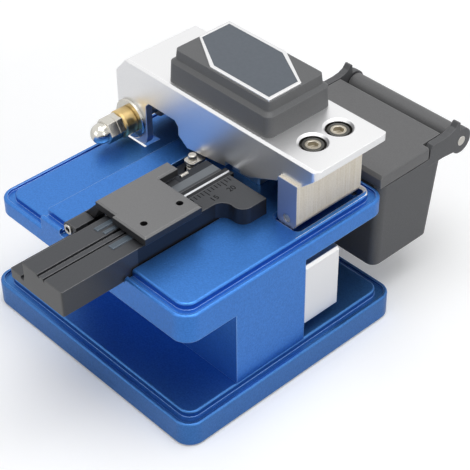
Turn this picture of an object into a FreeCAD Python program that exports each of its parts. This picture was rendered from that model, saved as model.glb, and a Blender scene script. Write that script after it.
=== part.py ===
# Bench fibre cleaver: a C-shaped frame on a base plate, a fibre tray, a hinged lid and a scrap bin.
# X runs across the tool, Y along the fibre (the tray sticks out towards -Y), Z up, in millimetres.
# The origin is the centre of the footprint at the resting surface.
import FreeCAD
import Part
import math
import os

V = FreeCAD.Vector

# Base plate
BASE_W = 69.0
BASE_D = 65.0
BASE_TOP = 6.5
BASE_CORNER_R = 4.0
MAT_PROUD = 0.4
MAT_POCKET = 0.8
MAT_MARGIN = 6.0
LEDGE = 0.9
PANEL_INSET = 2.4
PANEL_RISE = 0.9
COVE_DEPTH = 0.6
EDGE_R = 0.5

# Screws that hold the frame to the base plate, from below
FRAME_HEAD_SEAT = 4.2
FRAME_HEAD = 2.6
FRAME_SHANK = 9.0

# Main frame: deck and wall in one piece
DECK_W = 64.2
DECK_D = 60.4
DECK_CORNER_R = 4.0
DECK_UNDER = 27.3
DECK_SIDE_TOP = 34.5
DECK_PANEL_RISE = 1.0
DECK_PANEL_INSET = 2.2
LOW_DECK_SIDE_TOP = 31.2
LOW_DECK_PANEL_RISE = 0.8
STEP_X = -15.3
WALL_X_LOW = -26.0
WALL_FRONT = -16.0
WALL_BACK = 4.6
REAR_UNDER = 30.5
CHANNEL_X_LOW = -8.7
CHANNEL_CLEARANCE = 0.4
CHANNEL_FLOOR = 33.2
CHANNEL_BACK = 9.0

# Fibre tray
FIBRE_X = 6.2
TRAY_FRONT = -46.0
TRAY_BACK = 5.3
TRAY_LEDGE_X = -4.8
TRAY_X_LOW = -0.2
TRAY_X_HIGH = 12.9
TRAY_TOP = 39.7
TRAY_LEDGE_TOP = 35.5
REAR_LEDGE_DROP = 1.0
FLARE_X = 19.1
FLARE_FRONT = -1.2
GROOVE_WIDE = 1.0
GROOVE_FINE = 0.5
GROOVE_DEPTH = 0.7
GROOVE_SPACING = 1.8
GUIDE_SUNK = 1.0
VGROOVE_W = 2.6
VGROOVE_DEPTH = 2.0
VGROOVE_FRONT = -9.0
TRAY_KNUCKLE_FRONT = -29.2
TRAY_KNUCKLE_BACK = -8.0
TRAY_SCREW_R = 1.2
TRAY_HEAD_R = 2.1
TRAY_HEAD = 1.6

# Fibre clamp plate on the tray
CLAMP_X_LOW = -3.1
CLAMP_X_HIGH = 14.1
CLAMP_FRONT = -24.8
CLAMP_BACK = -9.0
CLAMP_GAP = 0.8
CLAMP_THICK = 2.0
CLAMP_PIVOT_X = -6.5
CLAMP_PIVOT_Z = 35.5
CLAMP_PIN_R = 1.2
CLAMP_PIN_BORE = 0.7
CLAMP_PIN_PROUD = 0.3
CLAMP_KNUCKLE_R = 1.7
ARM_WIDTH = 3.4
ARM_LAP = 0.9
TAB_X_HIGH = 0.4
TAB_REACH = 5.4

# Lid
LID_X_LOW = -33.3
LID_X_HIGH = 31.9
LID_FRONT = 7.3
LID_BACK = 29.4
LID_TOP = 52.0
LID_SLAB = 1.8
LID_FLANGE = 1.8
LID_CHAMFER = 0.5
LID_BEVEL_X = 3.9
LID_BEVEL_Z = 4.5
LID_END_LOW = 37.0
EAR_WIDTH = 10.2
EAR_BOTTOM = 30.4
EAR_RADIUS = 2.6
WINDOW_X_HIGH = -11.8
WINDOW_TOP = 43.2
FLANGE_LOW = 37.5
FLANGE_MID = 38.6
FIBRE_GATE = 2.4
FIBRE_GATE_TOP = 40.5
LID_SCREW_X = 23.3
LID_SCREW_YS = (14.9, 22.8)
COUNTERBORE_R = 3.0
COUNTERBORE_DEPTH = 2.6
BOSS_LOW = 48.0
BOSS_X_LOW = 18.6
BRIDGE_LOW = 46.6
BRIDGE_HALF_W = 5.0
STOP_X = -11.5
STOP_Y = 24.6
STOP_R = 2.0
STOP_TIP = 1.2
STOP_GAP = 0.1
SCREW_HEAD_R = 2.45
SCREW_R = 1.5
SCREW_CLEARANCE = 0.1

# Notch in the deck for the lid's front ear
EAR_NOTCH_SIDE = 1.2
EAR_NOTCH_FRONT = 1.9
EAR_NOTCH_BACK = 1.0

# Catch magnet and the sprung pin that lifts the lid
MAGNET_R = 2.5
MAGNET_THICK = 1.5
CATCH_X = -26.4
CATCH_Y = 24.4
LIFT_X = -5.0
LIFT_Y = 5.4
LIFT_PIN_R = 0.7
LIFT_KNOB_R = 1.0
LIFT_KNOB = 1.5
LIFT_PLATE = 0.6
LIFT_PLATE_BACK = 8.5
LIFT_GAP = 0.2
LIFT_POCKET_R = 1.9
LIFT_POCKET_FLOOR = 0.5
LIFT_STROKE = 1.5
LIFT_WIRE_R = 0.2
LIFT_COIL_R = 1.25

# Lid hinge
HINGE_X = 24.2
BLOCK_TOP = 46.3
NECK_INSET = 2.9
HINGE_Z = 36.6
HINGE_PIN_R = 1.0
HINGE_HALF_W = 2.8
HINGE_FRONT = 6.4
HINGE_BACK = 26.8
HINGE_TAIL = 2.2
HINGE_TAIL_R = 1.6
HINGE_SKIN = 0.7
HINGE_EAR = 3.0
LUG_R = 1.8
RUN_CLEARANCE = 0.05
SWING_CLEARANCE = 0.3
SLOT_FLOOR = 32.9
SLOT_X_LOW = 20.9
SLOT_X_HIGH = 28.0
SLOT_END_GAP = 0.4
SLOT_CHAMFER = 0.7
SLOT_CORNER_R = 0.9
HINGE_RELIEF_X = 0.9
HINGE_RELIEF_TOP = 0.6

# Grip pad on the lid
PAD_X_LOW = -16.4
PAD_X_HIGH = 16.3
PAD_FRONT = 8.5
PAD_BACK = 28.0
PAD_LOWER = 5.1
PAD_SLOPE = 0.7
PAD_UPPER = 2.4
PAD_STEP = 0.9
PAD_TAPER = 0.25
PAD_CORNER_R = 1.8
BADGE_MARGIN = 0.3
BADGE_CUT_X = 11.0
BADGE_CUT_FRONT = 0.42
BADGE_CUT_BACK = 0.60
BADGE_THICK = 0.5
RIM_WIDTH = 0.8

# Anvil shaft at the lid's left end, with its nuts in front
SHAFT_X = -28.4
SHAFT_Z = 36.3
SHAFT_R = 1.5
WASHER_R = 5.0
WASHER_THICK = 0.9
BUSH_R = 3.4
BUSH_LENGTH = 3.4
THIN_NUT_AF = 5.5
THIN_NUT_THICK = 1.8
ACORN_AF = 5.5
ACORN_HEX = 2.6
ACORN_DOME_R = 2.5
ARM_BOSS_R = 2.9
ARM_THICK = 1.6
ARM_UNDER = 39.9
ARM_TOP = 44.6

# Blade wheel and slider
BLADE_Y = 18.9
BLADE_R = 8.0
BLADE_THICK = 1.2
BLADE_X = 10.0
BLADE_Z = 31.5
HUB_R = 3.2
ARBOR_R = 2.0
SLIDE_TRAVEL = 20.0
CARRIAGE_X_HIGH = 31.0
CARRIAGE_LENGTH = 40.0
CARRIAGE_CAP = 3.0
CARRIAGE_FRONT = 5.5
CARRIAGE_BACK = 16.9
CARRIAGE_LOW = 10.0
CARRIAGE_HIGH = 26.9
BLADE_SLOT_W = 5.4
BLADE_SLOT_FRONT = 1.4
BLADE_SLOT_REAR = 3.2
RAIL_Z = 18.0
RAIL_HEAD = 8.0
RAIL_NECK = 5.0
RAIL_DEPTH = 4.0
RAIL_NECK_DEPTH = 1.6
RAIL_CLEARANCE = 0.3
RAIL_SHANK = 6.0
HOLDER_W = 11.0
HOLDER_THICK = 1.0
HOLDER_SCREW_Z = 22.0

# Clamps beside the blade
CLAMP_BLOCK_W = 9.0
CLAMP_BLOCK_D = 4.6
CLAMP_OFFSET = 5.4
LOWER_PAD = 0.8
UPPER_PAD = 0.8
JAW_PAD_HALF_W = 2.2
JAW_PAD_MARGIN = 0.4
FIBRE_GAP = 0.3
UPPER_BLOCK = 3.0
STEM_R = 1.4
STEM_REACH = 1.4

# Scrap bin behind the deck
BIN_X_LOW = -6.5
BIN_X_HIGH = 29.5
BIN_SPACER = 0.6
BIN_DEPTH_LOW = 19.6
BIN_DEPTH_HIGH = 22.0
BIN_LOW = 11.0
BIN_HIGH = 34.1
BIN_WALL = 1.4
BIN_TAPER = 1.2
BIN_CORNER_R = 2.2
BIN_LID_SEAM = 0.3
BIN_LID_TOP = 37.5
BIN_SKIRT_D = 16.3
BIN_PANEL_D = 22.6
BIN_PIVOT_D = 28.1
BIN_PIVOT_Z = 33.8
BIN_TUBE_R = 2.8
BIN_EAR_R = 3.3
BIN_PIN_R = 1.2
CHEEK_LEAN = 0.4
BIN_SCREW_R = 1.0
BIN_SCREW_Z = 32.2
BIN_SCREW_SHANK = 4.0
BIN_EAR = 1.8
HORN_TOP = 39.6
HORN_BACK = 1.0
HORN_THICK = 0.6
HORN_SWEEP = 5.0
WEB_THICK = 1.2

PANEL_TOP = DECK_SIDE_TOP + DECK_PANEL_RISE
LOW_PANEL_TOP = LOW_DECK_SIDE_TOP + LOW_DECK_PANEL_RISE
BASE_PANEL_TOP = BASE_TOP + PANEL_RISE
CHANNEL_X_HIGH = TRAY_X_HIGH + CHANNEL_CLEARANCE
BIN_FRONT = DECK_D / 2 + BIN_SPACER
BIN_BACK_LOW = BIN_FRONT + BIN_DEPTH_LOW
BIN_BACK_HIGH = BIN_FRONT + BIN_DEPTH_HIGH
BIN_SKIRT_BACK = BIN_FRONT + BIN_SKIRT_D
BIN_PANEL_BACK = BIN_FRONT + BIN_PANEL_D
BIN_PIVOT_Y = BIN_FRONT + BIN_PIVOT_D


# Basic solids

def box(x0, x1, y0, y1, z0, z1):
    return Part.makeBox(x1 - x0, y1 - y0, z1 - z0, V(x0, y0, z0))


def rod(r, base, axis, length):
    return Part.makeCylinder(r, length, V(*base), V(*axis))


def prism(points, direction):
    wire = Part.makePolygon([V(*p) for p in points] + [V(*points[0])])
    return Part.Face(wire).extrude(V(*direction))


def rounded_box(x0, x1, y0, y1, z0, z1, r):
    solid = box(x0, x1, y0, y1, z0, z1)
    upright = [e for e in solid.Edges if is_upright(e)]
    return solid.makeFillet(r, upright)


def is_upright(edge):
    a = edge.Vertexes[0].Point
    b = edge.Vertexes[-1].Point
    return abs(a.x - b.x) < 1e-6 and abs(a.y - b.y) < 1e-6 and abs(a.z - b.z) > 1e-6


def edges_at_height(solid, z):
    found = []
    for e in solid.Edges:
        if all(abs(v.Point.z - z) < 1e-6 for v in e.Vertexes):
            found.append(e)
    return found


def hexagon(across_flats, base, axis, length):
    r = across_flats / 2.0 / math.cos(math.pi / 6)
    points = [(r * math.cos(i * math.pi / 3), r * math.sin(i * math.pi / 3), 0) for i in range(6)]
    solid = prism(points, (0, 0, length))
    solid.Placement = FreeCAD.Placement(V(*base), FreeCAD.Rotation(V(0, 0, 1), V(*axis)))
    return solid


def socket_screw(base, axis, head_r, head_h, shank_r, shank_length):
    # Head stands from base along axis, shank goes the other way, with a hexagon socket in the head.
    back = tuple(-a for a in axis)
    head = rod(head_r, base, axis, head_h)
    shank = rod(shank_r, base, back, shank_length)
    depth = head_h * 0.6
    mouth = tuple(b + a * (head_h - depth) for b, a in zip(base, axis))
    socket = hexagon(head_r * 0.95, mouth, axis, depth + 1)
    return joined(head, shank).cut(socket)


def coil(x, y, z0, z1, r, wire_r, turns):
    # A compression spring standing along Z, its wire a short sweep round a helix.
    pitch = (z1 - z0 - 2 * wire_r) / turns
    helix = Part.makeHelix(pitch, pitch * turns, r)
    profile = Part.Wire([Part.makeCircle(wire_r, V(r, 0, 0), V(0, 1, 0))])
    spring = Part.Wire(helix).makePipeShell([profile], True, True)
    spring.translate(V(x, y, z0 + wire_r))
    return spring


def joined(first, others):
    return first.fuse(others).removeSplitter()


def build_base_plate():
    hw = BASE_W / 2
    hd = BASE_D / 2
    plate = rounded_box(-hw, hw, -hd, hd, MAT_PROUD, BASE_TOP, BASE_CORNER_R)
    plate = plate.makeFillet(EDGE_R, edges_at_height(plate, BASE_TOP))
    outer = rounded_box(-hw + LEDGE, hw - LEDGE, -hd + LEDGE, hd - LEDGE,
                        BASE_TOP - COVE_DEPTH, BASE_TOP + 1, BASE_CORNER_R - LEDGE)
    plate = plate.cut(outer)
    px = hw - PANEL_INSET
    py = hd - PANEL_INSET
    field = rounded_box(-px, px, -py, py, BASE_TOP - 2, BASE_PANEL_TOP, BASE_CORNER_R - LEDGE)
    field = field.makeFillet(EDGE_R, edges_at_height(field, BASE_PANEL_TOP))
    plate = joined(plate, field)
    mx = hw - MAT_MARGIN
    my = hd - MAT_MARGIN
    plate = plate.cut(rounded_box(-mx, mx, -my, my, 0, MAT_PROUD + MAT_POCKET, BASE_CORNER_R))
    for x, y in frame_screw_places():
        plate = plate.cut(rod(SCREW_R + SCREW_CLEARANCE, (x, y, 0), (0, 0, 1), 20))
        plate = plate.cut(rod(SCREW_HEAD_R + SCREW_CLEARANCE, (x, y, 0), (0, 0, 1), FRAME_HEAD_SEAT))
    return plate


def frame_screw_places():
    y = (WALL_FRONT + WALL_BACK) / 2
    xs = (WALL_X_LOW + 6.0, (WALL_X_LOW + DECK_W / 2) / 2, DECK_W / 2 - 6.0)
    return [(x, y) for x in xs]


def build_base_mat():
    x = BASE_W / 2 - MAT_MARGIN - SCREW_CLEARANCE
    y = BASE_D / 2 - MAT_MARGIN - SCREW_CLEARANCE
    return rounded_box(-x, x, -y, y, 0, MAT_PROUD + MAT_POCKET, BASE_CORNER_R)


def build_frame_screws():
    screws = []
    for x, y in frame_screw_places():
        screws.append(socket_screw((x, y, FRAME_HEAD_SEAT), (0, 0, -1), SCREW_HEAD_R, FRAME_HEAD,
                                   SCREW_R - RUN_CLEARANCE, FRAME_SHANK))
    return screws


def deck_outline(z0, z1):
    return rounded_box(-DECK_W / 2, DECK_W / 2, -DECK_D / 2, DECK_D / 2, z0, z1, DECK_CORNER_R)


def deck_level(x0, x1, top, rise):
    # One height of the deck: side wall with a rounded lip, a sunk cove and a raised field.
    hw = DECK_W / 2
    hd = DECK_D / 2
    slab = deck_outline(DECK_UNDER, top)
    slab = slab.makeFillet(EDGE_R, edges_at_height(slab, top))
    r = DECK_CORNER_R - LEDGE
    sunk = rounded_box(-hw + LEDGE, hw - LEDGE, -hd + LEDGE, hd - LEDGE, top - COVE_DEPTH, top + 1, r)
    slab = slab.cut(sunk)
    inset = DECK_PANEL_INSET
    field = rounded_box(-hw + inset, hw - inset, -hd + inset, hd - inset, top - 2, top + rise, r)
    field = field.makeFillet(EDGE_R, edges_at_height(field, top + rise))
    return joined(slab, field).common(box(x0, x1, -hd, hd, 0, top + rise))


def build_main_frame():
    hw = DECK_W / 2
    hd = DECK_D / 2
    low = deck_level(-hw, STEP_X, LOW_DECK_SIDE_TOP, LOW_DECK_PANEL_RISE)
    high = deck_level(STEP_X, hw, DECK_SIDE_TOP, DECK_PANEL_RISE)
    wall = box(WALL_X_LOW, hw, WALL_FRONT, WALL_BACK, BASE_PANEL_TOP, DECK_UNDER)
    frame = joined(high, [low, wall])
    # Relief under the rear of the deck, open to +X, over the slider
    frame = frame.cut(box(STEP_X, hw + 1, WALL_BACK, hd + 1, DECK_UNDER - 1, REAR_UNDER))
    # Channel for the tray
    frame = frame.cut(box(CHANNEL_X_LOW, CHANNEL_X_HIGH, -hd - 1, CHANNEL_BACK, CHANNEL_FLOOR, PANEL_TOP + 1))
    # Slot that the blade travels in
    x_low = BLADE_X - SLIDE_TRAVEL - BLADE_R - BLADE_SLOT_REAR
    x_high = BLADE_X + BLADE_R + BLADE_SLOT_FRONT
    frame = frame.cut(rounded_box(x_low, x_high, BLADE_Y - BLADE_SLOT_W / 2, BLADE_Y + BLADE_SLOT_W / 2,
                                  DECK_UNDER - 1, PANEL_TOP + 1, 1.0))
    # Pocket for the lid's left ear, open at the deck's side
    frame = frame.cut(box(-hw - 1, LID_X_LOW + EAR_WIDTH + EAR_NOTCH_SIDE, LID_FRONT - EAR_NOTCH_FRONT,
                          LID_FRONT + LID_FLANGE + EAR_NOTCH_BACK, DECK_UNDER - 1, LOW_PANEL_TOP + 1))
    # Hinge slot with its bright edge, and the lug that carries the hinge pin
    slot_front = HINGE_FRONT - SLOT_END_GAP
    slot_back = HINGE_BACK + SLOT_END_GAP
    frame = frame.cut(rounded_box(SLOT_X_LOW, SLOT_X_HIGH, slot_front, slot_back,
                                  SLOT_FLOOR, PANEL_TOP + 1, SLOT_CORNER_R))
    c = SLOT_CHAMFER
    mouth = rounded_box(SLOT_X_LOW - c, SLOT_X_HIGH + c, slot_front - c, slot_back + c,
                        PANEL_TOP - c, PANEL_TOP + 1, SLOT_CORNER_R + c)
    frame = frame.cut(mouth.makeChamfer(c - 0.01, edges_at_height(mouth, PANEL_TOP - c)))
    y0 = HINGE_FRONT + HINGE_EAR + SWING_CLEARANCE
    y1 = HINGE_BACK - HINGE_EAR - SWING_CLEARANCE
    root = box(SLOT_X_LOW - 0.5, HINGE_X - LUG_R * 0.7, y0, y1, SLOT_FLOOR - 0.5, HINGE_Z - LUG_R * 0.7)
    lug = box(HINGE_X - LUG_R, HINGE_X, y0, y1, HINGE_Z - LUG_R, HINGE_Z)
    lug = joined(lug, [root, rod(LUG_R, (HINGE_X, y0, HINGE_Z), (0, 1, 0), y1 - y0)])
    frame = joined(frame, lug)
    frame = frame.cut(rod(HINGE_PIN_R, (HINGE_X, y0 - 1, HINGE_Z), (0, 1, 0), y1 - y0 + 2))
    # Tapped holes
    for x, y in frame_screw_places():
        frame = frame.cut(rod(SCREW_R, (x, y, 0), (0, 0, 1), FRAME_HEAD_SEAT + FRAME_SHANK + 1))
    for x in rail_screw_places():
        frame = frame.cut(rod(SCREW_R, (x, WALL_BACK, RAIL_Z), (0, -1, 0), RAIL_SHANK + 1))
    for x, y in tray_screw_places():
        frame = frame.cut(rod(TRAY_SCREW_R + SCREW_CLEARANCE, (x, y, DECK_UNDER - 1), (0, 0, 1),
                              CHANNEL_FLOOR - DECK_UNDER + 2))
        seat = rod(TRAY_HEAD_R + SCREW_CLEARANCE, (x, y, DECK_UNDER - 1), (0, 0, 1), TRAY_HEAD + 1.2)
        frame = frame.cut(seat)
    for x in bin_screw_places():
        frame = frame.cut(rod(BIN_SCREW_R, (x, hd + 1, BIN_SCREW_Z), (0, -1, 0), BIN_SCREW_SHANK + 1))
    magnet = rod(MAGNET_R, (CATCH_X, CATCH_Y, LOW_PANEL_TOP - MAGNET_THICK), (0, 0, 1), 5)
    frame = frame.cut(magnet)
    return frame.cut(lift_bore())


def build_catch_magnet():
    return rod(MAGNET_R, (CATCH_X, CATCH_Y, LOW_PANEL_TOP - MAGNET_THICK), (0, 0, 1), MAGNET_THICK)


def lift_seat():
    return CHANNEL_FLOOR + LIFT_POCKET_FLOOR


def lift_plate_low():
    return FLANGE_LOW - LIFT_GAP - LIFT_PLATE


def lift_bore():
    # The bore below the pin's seat, deep enough for its whole stroke.
    length = LIFT_STROKE + 0.3
    return rod(LIFT_PIN_R + 0.1, (LIFT_X, LIFT_Y, lift_seat() - length), (0, 0, 1), length + 3)


def build_lift_pin():
    # A sprung pin in front of the lid, with a small plate that reaches below the lid's front wall.
    z0 = lift_plate_low()
    pin = rod(LIFT_PIN_R, (LIFT_X, LIFT_Y, lift_seat()), (0, 0, 1), z0 - lift_seat() + 0.1)
    plate = rounded_box(LIFT_X - 1.6, LIFT_X + 1.6, LIFT_Y - 1.6, LIFT_PLATE_BACK, z0, z0 + LIFT_PLATE, 1.0)
    knob = rod(LIFT_KNOB_R, (LIFT_X, LIFT_Y, z0 + LIFT_PLATE), (0, 0, 1), LIFT_KNOB)
    knob = knob.makeFillet(0.4, edges_at_height(knob, z0 + LIFT_PLATE + LIFT_KNOB))
    return joined(pin, [plate, knob])


def build_lift_spring():
    return coil(LIFT_X, LIFT_Y, lift_seat(), lift_plate_low(), LIFT_COIL_R, LIFT_WIRE_R, 3)


def rail_screw_places():
    return (-24.0, -10.0, 4.0)


def rail_section(grow):
    neck = RAIL_NECK / 2 + grow
    head = RAIL_HEAD / 2 + grow
    return neck, head


def build_guide_rail():
    hw = DECK_W / 2
    neck, head = rail_section(0)
    # The rail stops short of the carriage's closed end, also when the carriage is pushed in
    end = CARRIAGE_X_HIGH - CARRIAGE_CAP - SLIDE_TRAVEL - RAIL_CLEARANCE
    rail = box(-hw + 1, end, WALL_BACK, WALL_BACK + RAIL_NECK_DEPTH, RAIL_Z - neck, RAIL_Z + neck)
    rail = rail.fuse(box(-hw + 1, end, WALL_BACK + RAIL_NECK_DEPTH, WALL_BACK + RAIL_DEPTH,
                         RAIL_Z - head, RAIL_Z + head)).removeSplitter()
    for x in rail_screw_places():
        rail = rail.cut(rod(SCREW_R + SCREW_CLEARANCE, (x, WALL_BACK - 1, RAIL_Z), (0, 1, 0), 10))
        rail = rail.cut(rod(SCREW_HEAD_R + SCREW_CLEARANCE,
                            (x, WALL_BACK + RAIL_NECK_DEPTH, RAIL_Z), (0, 1, 0), 10))
    return rail


def build_rail_screws():
    y = WALL_BACK + RAIL_NECK_DEPTH
    return [socket_screw((x, y, RAIL_Z), (0, 1, 0), SCREW_HEAD_R, RAIL_DEPTH - RAIL_NECK_DEPTH - 0.3,
                         SCREW_R - RUN_CLEARANCE, RAIL_NECK_DEPTH + RAIL_SHANK - 1)
            for x in rail_screw_places()]


def build_slider_carriage():
    x0 = CARRIAGE_X_HIGH - CARRIAGE_LENGTH
    body = box(x0, CARRIAGE_X_HIGH, CARRIAGE_FRONT, CARRIAGE_BACK, CARRIAGE_LOW, CARRIAGE_HIGH)
    body = body.makeChamfer(0.6, body.Edges)
    neck, head = rail_section(RAIL_CLEARANCE)
    end = WALL_BACK + RAIL_DEPTH + RAIL_CLEARANCE
    split = WALL_BACK + RAIL_NECK_DEPTH - RAIL_CLEARANCE
    x1 = CARRIAGE_X_HIGH - CARRIAGE_CAP
    body = body.cut(box(x0 - 1, x1, CARRIAGE_FRONT - 1, split + 0.01, RAIL_Z - neck, RAIL_Z + neck))
    body = body.cut(box(x0 - 1, x1, split, end, RAIL_Z - head, RAIL_Z + head))
    # Finger flutes under the sliding end
    for i in range(4):
        z = CARRIAGE_LOW + 2.4 + i * 3.4
        body = body.cut(rod(0.35, (x0, CARRIAGE_BACK + 0.15, z), (1, 0, 0), 9.0))
    for x in holder_screw_places():
        body = body.cut(rod(1.0, (x, CARRIAGE_BACK, HOLDER_SCREW_Z), (0, -1, 0), 5.0))
    return body


def holder_screw_places():
    return (BLADE_X - 3.4, BLADE_X + 3.4)


def build_blade_holder():
    y0 = CARRIAGE_BACK
    low = CARRIAGE_LOW + 8.0
    plate = box(BLADE_X - HOLDER_W / 2, BLADE_X + HOLDER_W / 2, y0, y0 + HOLDER_THICK, low, BLADE_Z)
    round_top = rod(HOLDER_W / 2, (BLADE_X, y0, BLADE_Z), (0, 1, 0), HOLDER_THICK)
    crop = box(BLADE_X - HOLDER_W, BLADE_X + HOLDER_W, y0, y0 + HOLDER_THICK, low, PANEL_TOP - 0.3)
    plate = joined(plate, round_top).common(crop)
    plate = plate.cut(rod(ARBOR_R - 0.6, (BLADE_X, y0 - 1, BLADE_Z), (0, 1, 0), 4))
    for x in holder_screw_places():
        plate = plate.cut(rod(1.1, (x, y0 - 1, HOLDER_SCREW_Z), (0, 1, 0), 4))
    return plate


def build_holder_screws():
    y = CARRIAGE_BACK + HOLDER_THICK
    return [socket_screw((x, y, HOLDER_SCREW_Z), (0, 1, 0), 1.8, 1.3, 0.95, HOLDER_THICK + 4.0)
            for x in holder_screw_places()]


def build_blade_arbor():
    y0 = CARRIAGE_BACK
    y1 = BLADE_Y + BLADE_THICK / 2 + 0.15
    arbor = rod(ARBOR_R - 0.6, (BLADE_X, y0, BLADE_Z), (0, 1, 0), HOLDER_THICK)
    arbor = arbor.fuse(rod(ARBOR_R, (BLADE_X, y0 + HOLDER_THICK, BLADE_Z), (0, 1, 0), y1 - y0 - HOLDER_THICK))
    head = rod(HUB_R, (BLADE_X, y1, BLADE_Z), (0, 1, 0), 0.9)
    slot = box(BLADE_X - HUB_R, BLADE_X + HUB_R, y1 + 0.5, y1 + 2, BLADE_Z - 0.4, BLADE_Z + 0.4)
    return joined(arbor, head).cut(slot)


def build_blade_wheel():
    # A disc with a bevelled cutting rim, turned about Y, with index holes.
    h = BLADE_THICK / 2
    r0 = ARBOR_R + RUN_CLEARANCE
    points = [(r0, -h), (BLADE_R - 0.9, -h), (BLADE_R, 0), (BLADE_R - 0.9, h), (r0, h)]
    ring = [V(BLADE_X + r, BLADE_Y + y, BLADE_Z) for r, y in points]
    face = Part.Face(Part.makePolygon(ring + [ring[0]]))
    wheel = face.revolve(V(BLADE_X, BLADE_Y, BLADE_Z), V(0, 1, 0), 360)
    for i in range(8):
        a = i * math.pi / 4
        wheel = wheel.cut(rod(0.45, (BLADE_X + 5.2 * math.cos(a), BLADE_Y - 1, BLADE_Z + 5.2 * math.sin(a)),
                              (0, 1, 0), 2))
    return wheel


def tray_screw_places():
    x = (TRAY_X_LOW + TRAY_X_HIGH) / 2
    return ((x, -26.6), (x, -19.2))


def flare_outline():
    # The tray's widened rear end: two blended arcs out to the flare, then straight to the back.
    start = V(TRAY_X_HIGH, FLARE_FRONT - 3.0, 0)
    middle = V((TRAY_X_HIGH + FLARE_X) / 2, FLARE_FRONT - 0.6, 0)
    end = V(FLARE_X, FLARE_FRONT + 2.4, 0)
    q1 = V(TRAY_X_HIGH + 0.9, FLARE_FRONT - 1.3, 0)
    q2 = V(FLARE_X - 0.7, FLARE_FRONT + 0.2, 0)
    edges = [Part.Arc(start, q1, middle).toShape(), Part.Arc(middle, q2, end).toShape()]
    corner = V(FLARE_X, TRAY_BACK, 0)
    inner = V(TRAY_X_HIGH - 3, TRAY_BACK, 0)
    inner_front = V(TRAY_X_HIGH - 3, FLARE_FRONT - 3.0, 0)
    for a, b in ((end, corner), (corner, inner), (inner, inner_front), (inner_front, start)):
        edges.append(Part.makeLine(a, b))
    return Part.Face(Part.Wire(Part.__sortEdges__(edges)))


def build_fibre_tray():
    low = CHANNEL_FLOOR
    bar = box(TRAY_X_LOW, TRAY_X_HIGH, TRAY_FRONT, TRAY_BACK, low, TRAY_TOP)
    ledge = box(TRAY_LEDGE_X, TRAY_X_LOW, TRAY_FRONT, TRAY_KNUCKLE_BACK, low, TRAY_LEDGE_TOP)
    rear = box(CHANNEL_X_LOW + CHANNEL_CLEARANCE, TRAY_X_LOW + 0.1, TRAY_KNUCKLE_BACK,
               CHANNEL_BACK - CHANNEL_CLEARANCE, low, TRAY_LEDGE_TOP - REAR_LEDGE_DROP)
    tray = joined(bar, [ledge, rear])
    upright = [e for e in tray.Edges if is_upright(e) and e.Vertexes[0].Point.y < TRAY_FRONT + 0.1]
    tray = tray.makeFillet(0.4, upright)
    flare = flare_outline()
    flare.translate(V(0, 0, PANEL_TOP))
    tray = joined(tray, flare.extrude(V(0, 0, TRAY_TOP - PANEL_TOP)))
    # Guide grooves: a wide one along the side, then two fine ones beside the fibre line
    for x, width in ((TRAY_X_LOW, GROOVE_WIDE), (FIBRE_X - GROOVE_SPACING / 2, GROOVE_WIDE * 0.8),
                     (FIBRE_X + GROOVE_SPACING / 2, GROOVE_FINE)):
        top = TRAY_LEDGE_TOP if x == TRAY_X_LOW else TRAY_TOP
        centre = x - width / 2 if x == TRAY_X_LOW else x
        back = CLAMP_FRONT - 4.0 if x == TRAY_X_LOW else VGROOVE_FRONT
        tray = tray.cut(box(centre - width / 2, centre + width / 2, TRAY_FRONT - 1, back,
                            top - GROOVE_DEPTH, top + 1))
    # Pocket for the steel V-groove insert and for the three guide pads
    tray = tray.cut(box(FIBRE_X - VGROOVE_W / 2, FIBRE_X + VGROOVE_W / 2, VGROOVE_FRONT, TRAY_BACK + 1,
                        TRAY_TOP - VGROOVE_DEPTH, TRAY_TOP + 1))
    for x0, x1, y0, y1 in guide_pad_places():
        tray = tray.cut(box(x0, x1, y0, y1, TRAY_TOP - GUIDE_SUNK, TRAY_TOP + 1))
    for x, y in magnet_places():
        tray = tray.cut(rod(1.5, (x, y, TRAY_TOP - 1.5), (0, 0, 1), 3))
    for x, y in tray_screw_places():
        tray = tray.cut(rod(TRAY_SCREW_R, (x, y, low - 1), (0, 0, 1), 4.5))
    tray = tray.cut([rod(LIFT_POCKET_R, (LIFT_X, LIFT_Y, lift_seat()), (0, 0, 1), 5), lift_bore()])
    # Knuckles for the clamp plate's pin, standing on the ledge
    for y0, y1 in tray_knuckles():
        ear = box(CLAMP_PIVOT_X, TRAY_LEDGE_X + 1, y0, y1, low + 0.1, CLAMP_PIVOT_Z + CLAMP_KNUCKLE_R)
        ear = joined(ear, rod(CLAMP_KNUCKLE_R, (CLAMP_PIVOT_X, y0, CLAMP_PIVOT_Z), (0, 1, 0), y1 - y0))
        tray = joined(tray, ear)
    tray = tray.cut(rod(CLAMP_PIN_R, (CLAMP_PIVOT_X, TRAY_KNUCKLE_FRONT - 1, CLAMP_PIVOT_Z), (0, 1, 0), 30))
    return tray


def tray_knuckles():
    front = clamp_arm_places()[0] - SWING_CLEARANCE
    return ((TRAY_KNUCKLE_FRONT, front), (TRAY_KNUCKLE_BACK - 1.6, TRAY_KNUCKLE_BACK))


def guide_pad_places():
    y = CLAMP_FRONT - 3.6
    return ((1.4, 2.8, y, y + 5.0), (3.6, 4.6, y + 0.6, y + 5.0), (8.0, 9.6, y - 1.4, y + 4.4))


def magnet_places():
    return ((10.1, -21.7), (10.1, -11.7))


def build_guide_pads():
    pads = []
    for x0, x1, y0, y1 in guide_pad_places():
        pad = box(x0, x1, y0, y1, TRAY_TOP - GUIDE_SUNK, TRAY_TOP + 0.25)
        pads.append(pad.makeChamfer(0.15, edges_at_height(pad, TRAY_TOP + 0.25)))
    return pads


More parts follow.
